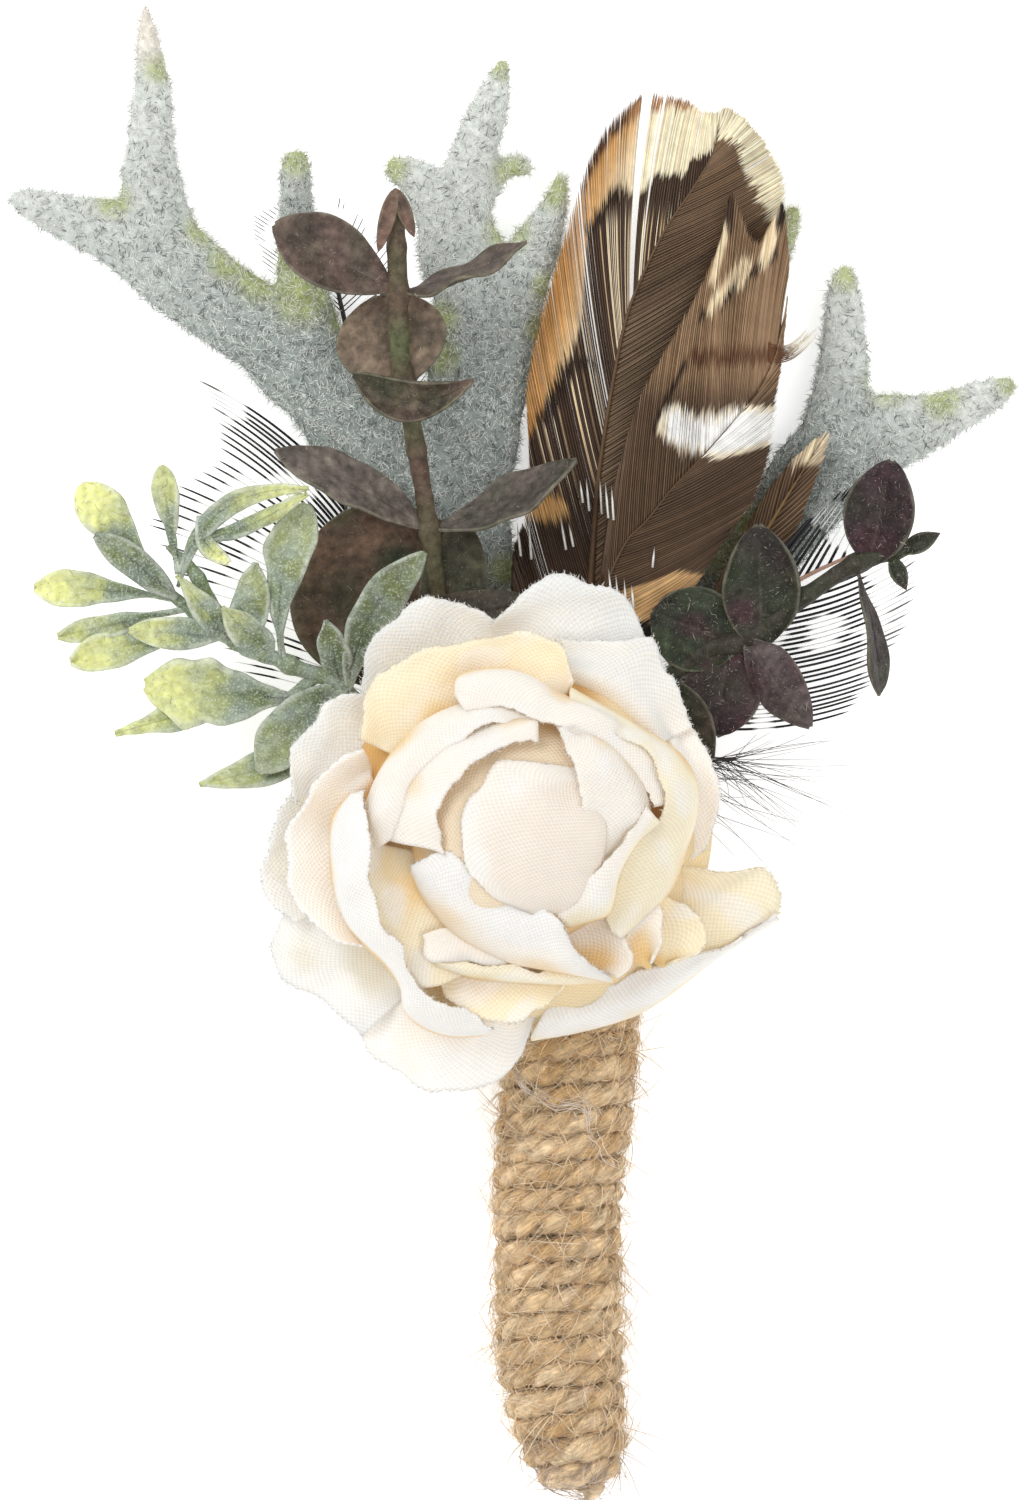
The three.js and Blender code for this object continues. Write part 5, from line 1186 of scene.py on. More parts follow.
def make_pheasants(settings, seed):
    """The two long banded feathers and the small one, barb by barb. Each feather's painter takes places on
    the barbs in mm, how far out along its barb each is, and each barb's share of the way along the vane."""
    brown, caramel, ivory, snow = (
        np.array(getattr(settings, key)) for key in ("brown", "caramel", "ivory", "snow"))
    deep, tan, black, straw = srgb("#2c1d13"), srgb("#8a6d50"), srgb("#120c09"), mix(ivory, caramel, 0.3)
    rng = np.random.default_rng(seed)
    keratin = once(feather_keratin)

    def beyond(at, line):
        """1 above the polyline y(x), 0 below it."""
        x, y = np.array(line).T
        return step(-0.15, 0.15, at[..., 1] - np.interp(at[..., 0], x, y))

    # The left feather: caramel along its left edge, cream across its tip, dark chevrons between.
    feather = Pile()
    rachis = spline(rooted("pheasant_left", [
        (6.8, -3.0, 6.2), (7.3, 10.0, 6.3), (7.7, 18.0, 6.3), (8.1, 24.0, 6.3), (8.6, 28.3, 6.4),
        (9.7, 35.2, 6.5), (10.9, 40.9, 6.7), (12.5, 45.1, 7.0), (14.7, 49.5, 7.3), (17.2, 53.2, 7.6),
        (19.1, 56.6, 7.9), (19.8, 60.2, 8.2)]), 400)

    def left_bands(at, out, share):
        x, y = at[..., 0], at[..., 1]
        edge = np.interp(y, [15, 22, 31, 37, 41, 45, 48, 52, 55, 57, 60, 62],
                         [1.0, 1.8, 2.0, 2.0, 3.2, 4.4, 5.3, 5.9, 6.9, 8.0, 9.6, 12.0])
        tint = mix(srgb("#b5854c"), caramel, step(0.6, 1.8, x - edge))
        tint = mix(tint, ivory, 0.7 * step(1.6, 4.5, x - edge))
        tint = mix(tint, ivory, 0.9 * step(11.4, 12.6, x) * step(52.5, 53.5, y))
        under = 1 - beyond(at, [
            (7.2, 49.2), (10.2, 53.4), (11.6, 53.0), (13.0, 53.6), (13.8, 54.6), (16.5, 54.6), (17.2, 56.2),
            (20.0, 57.0)])
        border = np.interp(y, [20, 28, 31, 33.5, 37, 39.3, 44.6, 50], [-2, 0.6, 2.2, 3.4, 5.2, 6.4, 6.9, 7.3])
        # Some barbs of the dark part, spread as if by chance along the vane, are pale for a length.
        streaks = 0.95 * step(0.5, 0.95, np.sin(9557.0 * share)) * step(20.0, 34.0, y) * step(52.0, 49.0, y)
        dark = mix(brown, mix(caramel, ivory, 0.6), streaks)
        tint = mix(tint, dark, under * step(-0.15, 0.15, x - border))
        tint = stroked(tint, at, [
            (deep, 7.4, 49.4, 10.0, 52.8, 0.5), (deep, 5.8, 36.6, 3.0, 31.6, 0.7),
            (deep, 5.6, 36.4, 8.4, 36.8, 0.6), (caramel, 0.6, 23.0, 4.2, 23.0, 1.1)])
        tip = beyond(at, [
            (4, 50.0), (5.9, 51.2), (6.7, 53.2), (8.0, 55.6), (9.5, 58.0), (11.5, 59.6), (13.0, 60.6),
            (15.2, 61.0), (16.7, 60.8), (18.6, 60.4)])
        rim = mix(srgb("#a77a50"), srgb("#533522"), np.maximum(step(12.0, 10.0, x), step(0.97, 1, out)))
        return mix(tint, rim, tip * step(18.0, 16.6, x))

    def right_bands(at, out, share):
        tint = mix(brown, tan, 0.3 + 0.25 * step(44, 56, at[..., 1]))
        return mix(tint, ivory, beyond(at, [
            (19.0, 58.3), (20.0, 58.0), (20.8, 58.0), (21.7, 56.9), (22.1, 54.9), (22.9, 53.9), (24.0, 51.8),
            (24.9, 50.2), (27, 49.0)]))

    vane(feather, rachis, [
        (-4.0, 1.5, 12.0), (3.0, 1.1, 20.0), (8.0, 1.6, 27.7), (13.0, 1.4, 34.8), (18.0, 2.5, 40.6),
        (24.0, 3.9, 45.2), (28.3, 5.1, 49.2), (35.0, 7.3, 56.0), (38.0, 9.2, 59.6), (40.9, 11.5, 61.8),
        (42.4, 13.0, 62.4), (45.1, 15.0, 62.4), (49.5, 16.9, 61.7), (53.2, 18.4, 60.7), (56.6, 19.3, 60.4),
        (59.0, 19.8, 60.6)], 250, -0.07, 0.5, left_bands, rng, width=0.072,
        gaps=[(0.645, 0.685), (0.722, 0.73), (0.44, 0.444), (0.53, 0.534), (0.6, 0.603)], web=0)
    vane(feather, rachis, [
        (10.0, 17.0, 24.0), (16.0, 21.0, 30.0), (24.0, 24.0, 36.5), (31.0, 25.4, 43.0), (37.0, 25.6, 48.0),
        (43.0, 26.1, 51.8), (47.5, 26.1, 54.0), (50.6, 25.5, 55.8), (54.3, 24.0, 58.1), (56.2, 22.4, 59.9),
        (57.8, 20.9, 60.8), (59.4, 20.0, 60.9)], 260, 0.09, 0.3, right_bands, rng, width=0.055)
    vane(feather, rachis, [
        (-6.0, -0.3, 9.0), (-2.0, -0.1, 15.0), (1.0, 0.1, 18.8), (4.5, 1.0, 21.6)],
        100, -0.07, 0.3, left_bands, rng, width=0.09, web=0)
    quill(feather, rachis, (0.4, 0.4, 0.24, 0.16, 0.12, 0.1), mix(brown, tan, 0.35))
    # Short white ticks over the dark foot of the vane, each from one x, y to another.
    ticks = np.array([
        (9.2, 21.9, 8.9, 25.4), (9.7, 21.7, 9.5, 25.0), (8.6, 22.3, 8.4, 25.8), (7.4, 22.6, 7.1, 25.8),
        (6.8, 23.4, 6.5, 25.6), (5.2, 18.9, 4.6, 22.3), (5.9, 19.2, 5.4, 21.6), (0.9, 18.3, 0.5, 21.6),
        (1.9, 18.0, 1.6, 21.9), (9.6, 13.6, 9.2, 17.2), (10.2, 13.3, 9.9, 16.6), (10.9, 13.2, 10.7, 16.2),
        (11.6, 13.4, 11.4, 15.6), (13.4, 17.2, 13.6, 19.2)])
    start, end = ticks[:, :2], ticks[:, 2:]
    places = np.stack([start, (start + end) / 2, end], 1)
    height = [7.6, 7.75, 7.6] + np.where(places[:, :1, 0] > 9, 2.0, 0.0)
    lines = np.concatenate([places, height[..., None]], -1)
    strands(feather, lines, np.array([0.13, 0.12, 0.02]), snow)
    attach(feather.build("pheasant_left_vanes", keratin), "brown_plumage", "pheasant_feather_left")

    # The right feather: dark, with one white bar, a caramel band at its foot and cream splinters at its tip.
    feather = Pile()
    rachis = spline(rooted("pheasant_right", [
        (7.1, -3.0, 8.1), (7.6, 6.0, 8.5), (8.6, 14.0, 8.7), (10.7, 19.3, 8.8), (12.9, 21.7, 8.9),
        (15.2, 24.6, 9.0), (18.0, 27.6, 9.1), (21.2, 31.2, 9.3), (23.8, 34.6, 9.5), (25.3, 38.6, 9.8),
        (25.8, 42.6, 10.2)]), 400)

    def bands(at, out, share):
        x, y = at[..., 0], at[..., 1]
        tint = mix(brown, tan, 0.2 + 0.95 * step(32.0, 37.0, y))
        low = np.interp(x, [13, 14.4, 15.6, 19.5, 22.0, 24.5], [30.4, 29.4, 28.5, 27.5, 28.0, 28.8])
        high = np.interp(
            x, [13, 14.4, 15.4, 17.5, 19.0, 20.5, 24.5], [30.8, 32.2, 32.6, 31.8, 31.7, 32.3, 32.5])
        white = step(-0.15, 0.15, y - low) * step(0.15, -0.15, y - high) * step(13.6, 14.0, x)
        edge = np.maximum(step(0.9, 0.1, y - low), step(0.9, 0.1, high - y))
        bar = mix(snow, mix(ivory, caramel, 0.25), 0.8 * np.maximum(edge, step(15.4, 14.0, x)))
        tint = mix(tint, bar, white)
        tint = stroked(tint, at, [
            (srgb("#5f4029"), 17.6, 37.2, 26.0, 37.4, 0.75), (deep, 16.5, 36.5, 13.5, 30.5, 0.25),
            (deep, 18.0, 41.0, 25.0, 47.0, 0.4), (brown, 20.8, 54.0, 20.5, 49.3, 0.55),
            (straw, 20.3, 49.3, 19.1, 44.4, 0.36), (straw, 22.1, 46.4, 18.9, 41.8, 0.42),
            (straw, 22.6, 46.0, 21.6, 43.8, 0.36), (straw, 25.5, 51.0, 24.0, 46.4, 0.55),
            (deep, 26.0, 52.0, 25.4, 49.6, 0.4)])
        top = np.interp(x, [10, 12.6, 15.7, 18, 21], [15.0, 15.6, 16.9, 16.6, 16.2])
        band = step(11.9, 12.3, y) * step(0.15, -0.15, y - top)
        tint = mix(tint, mix(caramel, ivory, 0.12), band * step(10.4, 10.9, x))
        return mix(tint, black, step(12.1, 11.6, y))

    vane(feather, rachis, [
        (8.0, 9.2, 22.0), (14.0, 10.0, 26.0), (19.3, 12.0, 33.0), (21.7, 14.6, 38.0), (24.6, 17.4, 43.0),
        (27.6, 19.8, 48.4), (29.4, 21.0, 53.0), (31.2, 23.2, 48.4), (33.0, 24.9, 50.6), (34.6, 25.9, 51.8),
        (36.6, 26.4, 47.0), (40.0, 26.3, 45.0)], 220, -0.05, 0.5, bands, rng, width=0.06)
    vane(feather, rachis, [
        (2.0, 13.4, 10.5), (5.0, 15.6, 13.2), (9.0, 18.0, 16.2), (12.5, 20.3, 19.6), (15.5, 22.0, 22.0),
        (18.2, 23.5, 24.2), (21.0, 24.6, 27.4), (24.6, 25.0, 30.6), (27.6, 25.3, 33.6), (31.2, 25.7, 36.6),
        (35.0, 26.0, 40.0), (39.5, 26.2, 43.0)], 200, 0.12, 0.3, bands, rng, width=0.06)
    quill(feather, rachis, (0.4, 0.3, 0.14, 0.09, 0.07, 0.06), mix(brown, tan, 0.25))
    # A wisp of split barbs that stands off the right edge and curls up to a pale tip.
    fan, t = np.linspace(-1, 1, 17)[:, None], np.linspace(0, 1, 12)[None]
    wisp = np.stack([
        24.4 + (4.2 + 0.5 * np.sin(23 * fan)) * t,
        37.7 + fan * (0.9 - 0.5 * t) - 0.5 * np.sin(np.pi * t) + 2.0 * t * t,
        9.9 + 0.15 * np.cos(31 * fan) * t], -1)
    tint = mix(srgb("#6e4a33"), mix(ivory, snow, 0.3), step(0.3, 0.8, t + 0.1 * fan))
    strands(feather, wisp, 0.075 * np.sqrt(1.03 - t) * np.ones((17, 1)), tint)
    attach(feather.build("pheasant_right_vanes", keratin), "brown_plumage", "pheasant_feather_right")

    feather = Pile()
    rachis = spline(rooted("pheasant_small", [
        (12.0, 0.0, 5.5), (18.0, 10.0, 5.4), (22.6, 17.9, 5.5), (26.0, 23.6, 5.7), (29.6, 29.4, 6.0)]), 200)

    def small_bands(at, out, share):
        tint = mix(brown, tan, 0.2 + 0.5 * out)
        return mix(tint, mix(ivory, srgb("#c7a98a"), 0.5), step(26.6, 27.4, at[..., 1]))

    vane(feather, rachis, [
        (8.0, 20.2, 17.0), (14.0, 22.6, 21.6), (19.0, 25.0, 25.4), (24.0, 27.6, 28.4), (28.8, 30.0, 30.2)],
        46, -0.05, 0.2, small_bands, rng)
    vane(feather, rachis, [
        (8.0, 22.2, 13.2), (14.0, 26.2, 18.6), (19.0, 28.2, 23.2), (24.0, 29.6, 27.4), (28.8, 30.4, 30.2)],
        46, 0.06, 0.2, small_bands, rng)
    quill(feather, rachis, (0.4, 0.4, 0.26, 0.12), mix(brown, caramel, 0.3))
    attach(feather.build("pheasant_small_vanes", keratin), "brown_plumage", "pheasant_feather_small")


def make_barred(settings, seed):
    """The three barred feathers, whose barbs lie apart and carry black bars, and the dark down."""
    black, snow = np.array(settings.black), np.array(settings.snow)
    rng = np.random.default_rng(seed)
    keratin = once(feather_keratin)

    def barred(places):
        """A painter: black where places(x, y, share) says so, white elsewhere, and at least dark grey
        towards each barb's tip."""
        def paint(at, out, share):
            dark = places(at[..., 0], at[..., 1], np.broadcast_to(share, out.shape))
            return mix(snow, black, np.maximum(dark, 0.7 * step(0.8, 0.9, out)))
        return paint

    def within(value, *spans):
        """1 where value lies inside one of the spans, with soft ends."""
        return sum(
            step(low - 0.2, low + 0.2, value) * step(high + 0.2, high - 0.2, value) for low, high in spans)

    def left_bars(x, y, share):
        gone = y - x + 0.5 * np.sin(9 * share * TURN)
        top = within(gone, (34.0, 43.3), (48.1, 58.0))
        low = within(gone, (29.0, 32.0), (35.5, 39.0), (43.6, 47.5), (52.4, 56.5))
        return np.where(share > 0.7, top, low)

    def right_bars(x, y, share):
        x = x - 0.12 * (y - 10.0) + 0.3 * np.sin(11 * share * TURN)
        spot = step(1.3, 2.0, np.hypot(x - 29.7, y - 11.0))
        return within(x, (20.0, 24.0), (25.3, 33.6)) * spot

    def right_upper_bars(x, y, share):
        return within(x + y, (34.0, 38.0), (42.6, 50.4), (54.3, 57.2))

    def top_bars(x, y, share):
        return within(np.mod(y - x, 5.2), (0.4, 3.2))

    # Node, slot, quill, the rims of the two sides, then for each side the number of barbs, their bow and
    # their bars, and last the barbs' half width and the quill's colour.
    plans = [
        ("barred_feather_left", "barred_left",
         [(-2.0, -9.0, 2.2), (-8.0, 0.0, 1.9), (-13.0, 12.0, 1.5), (-15.8, 23.0, 1.3), (-18.4, 31.2, 1.3)],
         [(-2.0, -24.0, 5.0), (2.0, -27.0, 9.0), (5.0, -30.0, 13.0), (7.5, -33.0, 18.0), (10.0, -34.8, 22.5),
          (12.5, -32.2, 25.2), (15.0, -28.4, 27.2), (17.5, -28.0, 30.4), (20.8, -28.9, 33.0),
          (25.0, -29.9, 35.2)],
         [(4.0, -6.0, 12.0), (12.0, -9.0, 20.0), (20.0, -12.0, 28.0), (30.0, -17.6, 34.0)],
         (33, 20), (0.22, 0.1), (left_bars, left_bars), 0.145, "#4a4642"),
        ("barred_feather_top", "barred_top",
         [(1.0, -1.0, 1.7), (-6.6, 14.0, 1.3), (-13.2, 31.0, 1.3), (-16.2, 42.0, 1.4), (-17.4, 49.0, 1.7)],
         [(30.0, -19.0, 36.0), (34.0, -21.0, 41.0), (40.0, -24.0, 47.0), (45.0, -24.6, 51.0),
          (48.5, -20.0, 52.6)],
         [(30.0, -8.0, 36.0), (36.0, -9.5, 43.0), (42.0, -11.0, 47.5), (48.5, -16.5, 52.6)],
         (36, 32), (0.1, 0.1), (top_bars, top_bars), 0.06, "#4a4642"),
        ("barred_feather_right", "barred_right",
         [(10.4, -6.0, 7.2), (13.0, 3.6, 7.0), (19.6, 10.6, 6.9), (26.8, 15.7, 7.0), (33.2, 18.8, 7.2)],
         [(3.0, 17.0, 10.0), (6.0, 20.0, 14.0), (8.0, 26.0, 19.5), (11.3, 30.0, 23.5), (15.3, 33.0, 25.4),
          (18.0, 35.4, 25.6)],
         [(3.0, 32.2, 3.6), (4.4, 34.2, 6.0), (5.8, 35.8, 8.4), (7.4, 37.2, 11.0), (9.0, 38.2, 13.6),
          (10.6, 38.8, 16.0), (12.6, 38.6, 18.2), (15.0, 37.6, 20.0)],
         (24, 27), (-0.06, 0.3), (right_upper_bars, right_bars), 0.15, "#b79482"),
    ]
    for name, slot, line, left, right, counts, bows, bars, width, shaft in plans:
        feather = Pile()
        rachis = spline(rooted(slot, line), 240)
        for pairs, number, bow, places in zip((left, right), counts, bows, bars):
            vane(
                feather, rachis, pairs, number, bow, 0.4, barred(places), rng, width, web=0, thin=0.4,
                slim=0.35)
        quill(feather, rachis, (0.4, 0.4, 0.3, 0.15), srgb(shaft))
        attach(feather.build(name + "_barbs", keratin), "barred_plumage", name)

    down = Pile()
    rachis = spline(rooted("down", [(13.2, -7.0, 7.6), (17.0, -1.6, 8.6), (21.4, -1.0, 9.0)]), 120)
    count = 52
    at = rng.integers(70, 118, count)
    way = np.radians(np.clip(rng.normal(-16, 24, count), -70, 50))
    aim = np.stack([np.cos(way), np.sin(way), rng.normal(0, 0.06, count)], -1)
    reach = rng.uniform(5, 12, (count, 1, 1)) * step(1.3, 0.3, np.abs(way + 0.2))[:, None, None] + 2
    t = np.linspace(0, 1, 14)[None, :, None]
    curl = rng.normal(0, 0.9, (count, 1, 3)) * [1, 1, 0.3] * t ** 2
    lines = rachis[at][:, None] + aim[:, None] * reach * t + curl
    tint = mix(srgb("#2b2a2c"), srgb("#8a8784"), rng.uniform(0, 1, (count, 1)) ** 2)
    strands(down, lines, 0.04 * np.linspace(1, 0.3, 14), tint)
    quill(down, rachis, (0.4, 0.4, 0.3, 0.15), srgb("#3a3634"))
    attach(down.build("down_tuft_barbs", keratin), "barred_plumage", "down_tuft")


# ---- the handle ----
# Its y, centre x and outer radius; then, in mm too, how far the underside is pressed flat, where the end
# starts to round off, where the twine starts and ends, and the steps its line is made in.
HANDLE = np.array([
    (-17.0, 5.8, 6.6), (-24.0, 5.6, 6.6), (-29.6, 5.4, 6.5), (-36.2, 4.9, 6.3), (-42.9, 4.4, 6.0),
    (-51.4, 4.3, 5.9), (-57.1, 4.7, 6.0), (-61.9, 4.9, 5.6), (-66.6, 5.7, 4.9), (-69.0, 6.2, 3.9),
    (-70.4, 6.2, 1.5)])
PRESSED = 0.5
ROUNDED_Y = -62.0
TWINE_TOP_Y, TWINE_END_Y = -22.9, -70.0
TWINE_STEP = 0.3


def handle_at(y):
    """The handle's centre and outer radius at each y, in straight lines between its rows."""
    rows = HANDLE[::-1]
    radius = np.interp(y, rows[:, 0], rows[:, 2])
    rest = np.interp(np.maximum(y, ROUNDED_Y), rows[:, 0], rows[:, 2]) - PRESSED
    return np.stack([np.interp(y, rows[:, 0], rows[:, 1]), y, rest], -1), radius


def twine_line(settings):
    """The twine's centre line and the outward direction at each point: a helix on the handle whose turns lie
    one pitch apart along the handle's slope, with a little slack from turn to turn."""
    y = np.linspace(TWINE_TOP_Y, TWINE_END_Y, 6000)
    _, radius = handle_at(y)
    angle = TURN * summed(np.hypot(np.diff(y), np.diff(radius))) / settings.pitch
    reach = np.maximum(1.3, radius - settings.twine)
    gone = summed(np.hypot(reach[1:] * np.diff(angle), np.diff(y)))
    count = int(gone[-1] / TWINE_STEP)
    at = np.linspace(0, gone[-1], count)
    y, angle, reach = (np.interp(at, gone, v) for v in (y, angle, reach))
    centre, _ = handle_at(y)
    out = np.stack([np.cos(angle), np.zeros(count), np.sin(angle)], -1)
    slack = 0.09 * np.sin(2.1 * angle / TURN + 1.0) + 0.12 * np.sin(0.83 * angle) * np.sin(0.31 * angle)
    line = centre + out * (reach + 0.12 * np.sin(5.3 * angle / TURN))[:, None]
    line[:, 1] += slack
    return line, out


def make_twine(settings, seed):
    """Three-ply jute: each ply circles the twine's centre line once in every lay, and swells and thins.
    Stray fibres stand off it, more of them lying along the surface than out from it."""
    rng = np.random.default_rng(seed)
    tan, straw = np.array(settings.tan), np.array(settings.straw)
    line, out = twine_line(settings)
    count = len(line)
    gone = TWINE_STEP * np.arange(count)
    along = unit(np.gradient(line, axis=0))
    across = np.cross(along, out)
    jute = once(jute_fibre)
    ply_radius = 0.66 * settings.twine
    cord = Pile()
    for ply in range(3):
        turn = -TURN * (gone / settings.lay + ply / 3)
        ring = 0.46 * settings.twine * (1 + 0.12 * ripple(line, 3.0, seed + 50 + ply))[:, None]
        centre = line + ring * (np.cos(turn)[:, None] * out + np.sin(turn)[:, None] * across)
        centre += 0.07 * np.stack([ripple(centre, 3.0, seed + ply + k) for k in (10, 20, 30)], -1)
        radius = ply_radius * (1 + 0.13 * ripple(centre, 4.0, seed + 3 + ply))
        phase = np.arange(12)[None] * TURN / 4 + gone[:, None] * TURN / 1.7 + 2 * ply
        lumps = 1 + 0.07 * np.sin(phase + ripple(centre, 5.0, 9)[:, None])
        shade = 0.5 + 0.4 * ripple(centre, 9.0, seed + 6 + ply) + 0.15 * ripple(centre, 2.0, seed + 9 + ply)
        tint = mix(mix(tan, srgb("#a98452"), 0.5), mix(tan, straw, 0.6), shade)
        tint = mix(tint, srgb("#c4aa96"), 0.5 * step(0.8, 1.6, ripple(centre, 6.0, seed + 12 + ply)))
        tube(cord, centre, radius, radius, 12, tint, up=out, ring=lumps)
    for points in cord.points:
        points[:, 2] = np.maximum(points[:, 2], 0.02)
    attach(cord.build("jute_twine_plies", jute), "jute", "jute_twine")

    def fibres(number, steps, lengths, slant, off, rise, pale):
        """Fibres rooted round the twine, off times its radius from its line, slanted to it about by slant,
        or every way if slant is 0. rise is how far they lean out, and pale how far their tint may go."""
        at = rng.integers(2, count - 2, number)
        way = rng.uniform(-0.5, 0.5, number) * math.pi
        normal = unit(np.cos(way)[:, None] * out[at] + np.sin(way)[:, None] * across[at])
        skin = np.cross(normal, along[at])
        reach = rng.uniform(*lengths, (number, 1))
        lean = rng.normal(slant, 0.35, (number, 1)) if slant else rng.normal(0, 1.6, (number, 1))
        aim = unit(along[at] + lean * skin + normal * rng.uniform(*rise, (number, 1)))
        t = (np.linspace(-0.5, 0.5, steps) if slant else np.linspace(0, 1, steps))[None, :, None]
        lines = (line[at] + normal * off * settings.twine)[:, None] + aim[:, None] * reach[:, None] * t
        lines = lines + rng.normal(0, 0.08, (number, 1, 3)) * (reach[:, None] * t) ** 2
        lines = lines - normal[:, None] * (0.16 * (reach[:, None] * t) ** 2)
        lines[..., 2] = np.maximum(lines[..., 2], 0.06)
        tint = mix(mix(tan, srgb("#a8793c"), 0.3), srgb("#fbe8c8"), pale * rng.uniform(0, 1, number))
        tint = mix(tint, srgb("#c3b1a6"), 0.7 * step(-65.0, -69.0, line[at, 1]))
        width = rng.uniform(0.025, 0.055, (number, 1)) * np.linspace(1, 0.5, steps)[None]
        pile = Pile()
        strands(pile, lines, width, tint, up=rng.normal(size=(number, 1, 3)))
        return pile

    # Most fibres lie in the twine's own twist; the rest stray over its turns and stand off it.
    spun = fibres(11000, steps=4, lengths=(1.2, 3.2), slant=0.75, off=1.0, rise=(-0.1, 0.1), pale=0.9)
    attach(spun.build("jute_twine_spun_fibres", jute), "jute", "jute_twine")
    fuzz = fibres(settings.fuzz, steps=6, lengths=(1.2, 4.6), slant=0, off=1.16, rise=(0.0, 0.45), pale=1.3)
    # Two pale wisps cross the turns below the bloom.
    for places, number in (
        ([(0.2, -30.6), (1.3, -32.5), (2.6, -33.3), (4.2, -34.2), (6.0, -34.0), (7.1, -34.7),
          (7.2, -36.4)], 9),
        ([(7.5, -36.5), (8.1, -38.1), (8.9, -39.3), (10.5, -40.0)], 5),
    ):
        path = spline(places, 24)
        centre, radius = handle_at(path[:, 1])
        top = centre[:, 2] + np.sqrt(np.maximum(radius ** 2 - (path[:, 0] - centre[:, 0]) ** 2, 0)) + 0.15
        wisp = np.column_stack([path, top])[None] + np.cumsum(rng.normal(0, 0.06, (number, 24, 3)), axis=1)
        wisp = wisp + rng.normal(0, 0.35, (number, 1, 3)) * [1, 1, 0.3]
        strands(fuzz, wisp, 0.03, srgb("#fff4e8"))
    attach(fuzz.build("jute_twine_fuzz", jute), "jute", "jute_twine")


def make_core():
    """The taped stems: a tube whose radius follows the core in the frame, with the tape's spiral ridges."""
    core = Pile()
    rows = np.array([
        (-66.5, 0.5), (-65.0, 1.7), (-62.0, 2.5), (-55.0, 3.1), (-49.5, 2.9), (-40.5, 3.1), (-31.5, 3.6),
        (-22.6, 3.8), (-21.0, 5.2), (-18.6, 5.6), (-17.2, 5.5), (-17.0, 4.9)])
    y = np.concatenate([np.linspace(-66.5, -22.8, 120), np.linspace(-22.6, -17.0, 60)])
    centre, _ = handle_at(y)
    radius = np.interp(y, rows[:, 0], rows[:, 1])
    sides = 40
    a = TURN * np.arange(sides) / sides
    spiral = 1 + 0.025 * np.sin(TURN * y[:, None] / 3.2 + a[None]) + 0.012 * np.sin(5 * a[None] + y[:, None])
    tint = mix(srgb("#5f6f44"), srgb("#44512f"), 0.5 + 0.5 * ripple(centre, 3.0, 2))
    tube(core, centre, radius, radius, sides, tint, ring=spiral)
    attach(core.build("taped_core_wrap", once(floral_tape)), "floral_tape", "taped_core")


# ---- the stage ----
PHOTO_PIXELS = (1024, 1500)
MM_PER_PIXEL = 0.095
# In metres: the camera, a long lens from straight above, and the height at which the scale holds.
CAMERA_PLACE = (0.00005, -0.00014, 1.5)
SCALE_HEIGHT = 0.010
TABLE_Z = -0.0002  # just under the part, so that the two never share a surface
LAMP_AIM = (0, 0, 0.01)


def make_stage():
    """A plain white light table, soft light from the left and the front, and a camera that looks straight
    down."""
    white = bpy.data.materials.new("matt_white_table")
    white.use_nodes = True
    shader = white.node_tree.nodes["Principled BSDF"]
    shader.inputs["Base Color"].default_value = (0.93, 0.93, 0.93, 1)
    shader.inputs["Roughness"].default_value = 0.9
    shader.inputs["Emission Color"].default_value = (1, 1, 1, 1)
    shader.inputs["Emission Strength"].default_value = 0.5
    mesh = bpy.data.meshes.new("table")
    mesh.from_pydata([(-3, -3, 0), (3, -3, 0), (3, 3, 0), (-3, 3, 0)], [], [(0, 1, 2, 3)])
    mesh.materials.append(white)
    table = bpy.data.objects.new("table", mesh)
    table.location.z = TABLE_Z
    bpy.context.scene.collection.objects.link(table)

    world = bpy.data.worlds.new("soft_room")
    world.use_nodes = True
    world.node_tree.nodes["Background"].inputs["Color"].default_value = (1, 1, 1, 1)
    world.node_tree.nodes["Background"].inputs["Strength"].default_value = 0.61
    bpy.context.scene.world = world
    for name, place, size, power in (
        ("softbox_left", (-0.55, 0.5, 0.9), 0.7, 5.4),
        ("softbox_front", (0.4, -0.3, 1.2), 0.9, 5.0),
    ):
        lamp = bpy.data.lights.new(name, "AREA")
        lamp.shape, lamp.size, lamp.energy = "DISK", size, power
        lit = bpy.data.objects.new(name, lamp)
        lit.location = place
        lit.rotation_euler = Vector(np.subtract(LAMP_AIM, place)).to_track_quat("-Z", "Y").to_euler()
        bpy.context.scene.collection.objects.link(lit)

    lens = bpy.data.cameras.new("camera")
    reach = CAMERA_PLACE[2] - SCALE_HEIGHT
    lens.sensor_width = 36.0
    lens.lens = lens.sensor_width * reach / (PHOTO_PIXELS[1] * MM_PER_PIXEL * MM)
    lens.clip_start, lens.clip_end = 0.05, 20.0
    camera = bpy.data.objects.new("camera", lens)
    camera.location = CAMERA_PLACE
    bpy.context.scene.collection.objects.link(camera)
    bpy.context.scene.camera = camera
    bpy.context.scene.view_settings.view_transform = "Standard"


# ---- the add-on ----
class Boutonniere(bpy.types.PropertyGroup):
    """Everything a user would change about the boutonniere."""
    bloom: PointerProperty(type=BloomSettings)
    leaf: PointerProperty(type=LeafSettings)
    feather: PointerProperty(type=FeatherSettings)
    twine: PointerProperty(type=TwineSettings)


class BOUTONNIERE_OT_stage(bpy.types.Operator):
    """Sets the white table, the soft lights and the camera"""
    bl_idname = "boutonniere.stage"
    bl_label = "Stage"

    def execute(self, context):
        make_stage()
        return {"FINISHED"}


class BOUTONNIERE_OT_bloom(bpy.types.Operator):
    """Makes the cloth bloom and its calyx"""
    bl_idname = "boutonniere.bloom"
    bl_label = "Bloom"

    def execute(self, context):
        make_bloom(context.scene.boutonniere.bloom)
        make_calyx()
        return {"FINISHED"}


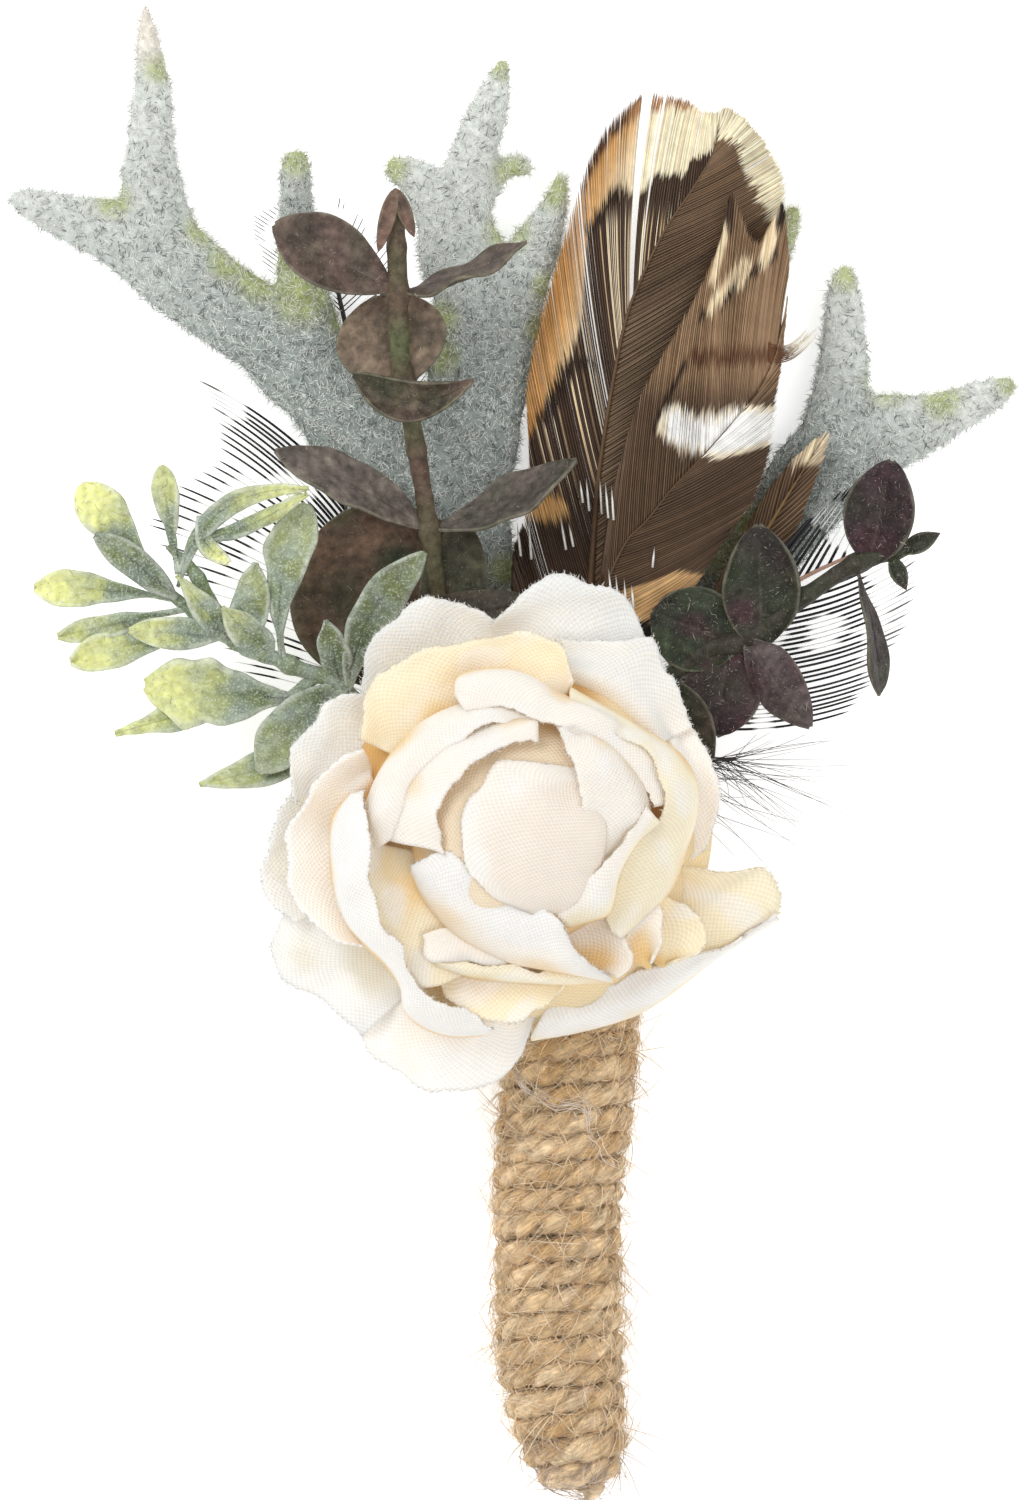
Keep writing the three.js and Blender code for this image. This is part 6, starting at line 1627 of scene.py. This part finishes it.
class BOUTONNIERE_OT_antlers(bpy.types.Operator):
    """Makes the three flocked antler leaves"""
    bl_idname = "boutonniere.antlers"
    bl_label = "Antler leaves"

    def execute(self, context):
        for seed, name in enumerate(ANTLERS):
            make_antler(name, context.scene.boutonniere.leaf, 100 * (seed + 1))
        return {"FINISHED"}


class BOUTONNIERE_OT_sprigs(bpy.types.Operator):
    """Makes the two eucalyptus sprigs and the leafy spray"""
    bl_idname = "boutonniere.sprigs"
    bl_label = "Sprigs"

    def execute(self, context):
        for seed, name in enumerate(PLUM_LEAVES):
            make_eucalyptus(name, context.scene.boutonniere.leaf, 500 + 100 * seed)
        make_spray(context.scene.boutonniere.leaf, 700)
        return {"FINISHED"}


class BOUTONNIERE_OT_feathers(bpy.types.Operator):
    """Makes the banded and the barred feathers and the down"""
    bl_idname = "boutonniere.feathers"
    bl_label = "Feathers"

    def execute(self, context):
        make_pheasants(context.scene.boutonniere.feather, 800)
        make_barred(context.scene.boutonniere.feather, 900)
        return {"FINISHED"}


class BOUTONNIERE_OT_handle(bpy.types.Operator):
    """Makes the jute twine and the taped core it is wound on"""
    bl_idname = "boutonniere.handle"
    bl_label = "Handle"

    def execute(self, context):
        make_core()
        make_twine(context.scene.boutonniere.twine, 1000)
        return {"FINISHED"}


OPERATORS = (
    BOUTONNIERE_OT_stage, BOUTONNIERE_OT_bloom, BOUTONNIERE_OT_antlers, BOUTONNIERE_OT_sprigs,
    BOUTONNIERE_OT_feathers, BOUTONNIERE_OT_handle,
)


class BOUTONNIERE_PT_panel(bpy.types.Panel):
    """Lists the boutonniere's settings and the operators that make its pieces"""
    bl_label = "Boutonniere"
    bl_idname = "BOUTONNIERE_PT_panel"
    bl_space_type = "VIEW_3D"
    bl_region_type = "UI"
    bl_category = "Boutonniere"

    def draw(self, context):
        settings = context.scene.boutonniere
        for group in (settings.bloom, settings.leaf, settings.feather, settings.twine):
            box = self.layout.box()
            for name in group.bl_rna.properties.keys():
                if name not in ("rna_type", "name"):
                    box.prop(group, name)
        for operator in OPERATORS:
            self.layout.operator(operator.bl_idname)


CLASSES = (
    BloomSettings, LeafSettings, FeatherSettings, TwineSettings, Boutonniere, *OPERATORS,
    BOUTONNIERE_PT_panel,
)


def register():
    for cls in CLASSES:
        bpy.utils.register_class(cls)
    bpy.types.Scene.boutonniere = PointerProperty(type=Boutonniere)


def unregister():
    del bpy.types.Scene.boutonniere
    for cls in reversed(CLASSES):
        bpy.utils.unregister_class(cls)


def main():
    """Registers the add-on and makes the stage and every piece in order."""
    register()
    for operator in OPERATORS:
        group, name = operator.bl_idname.split(".")
        getattr(getattr(bpy.ops, group), name)()


if __name__ == "__main__":
    main()
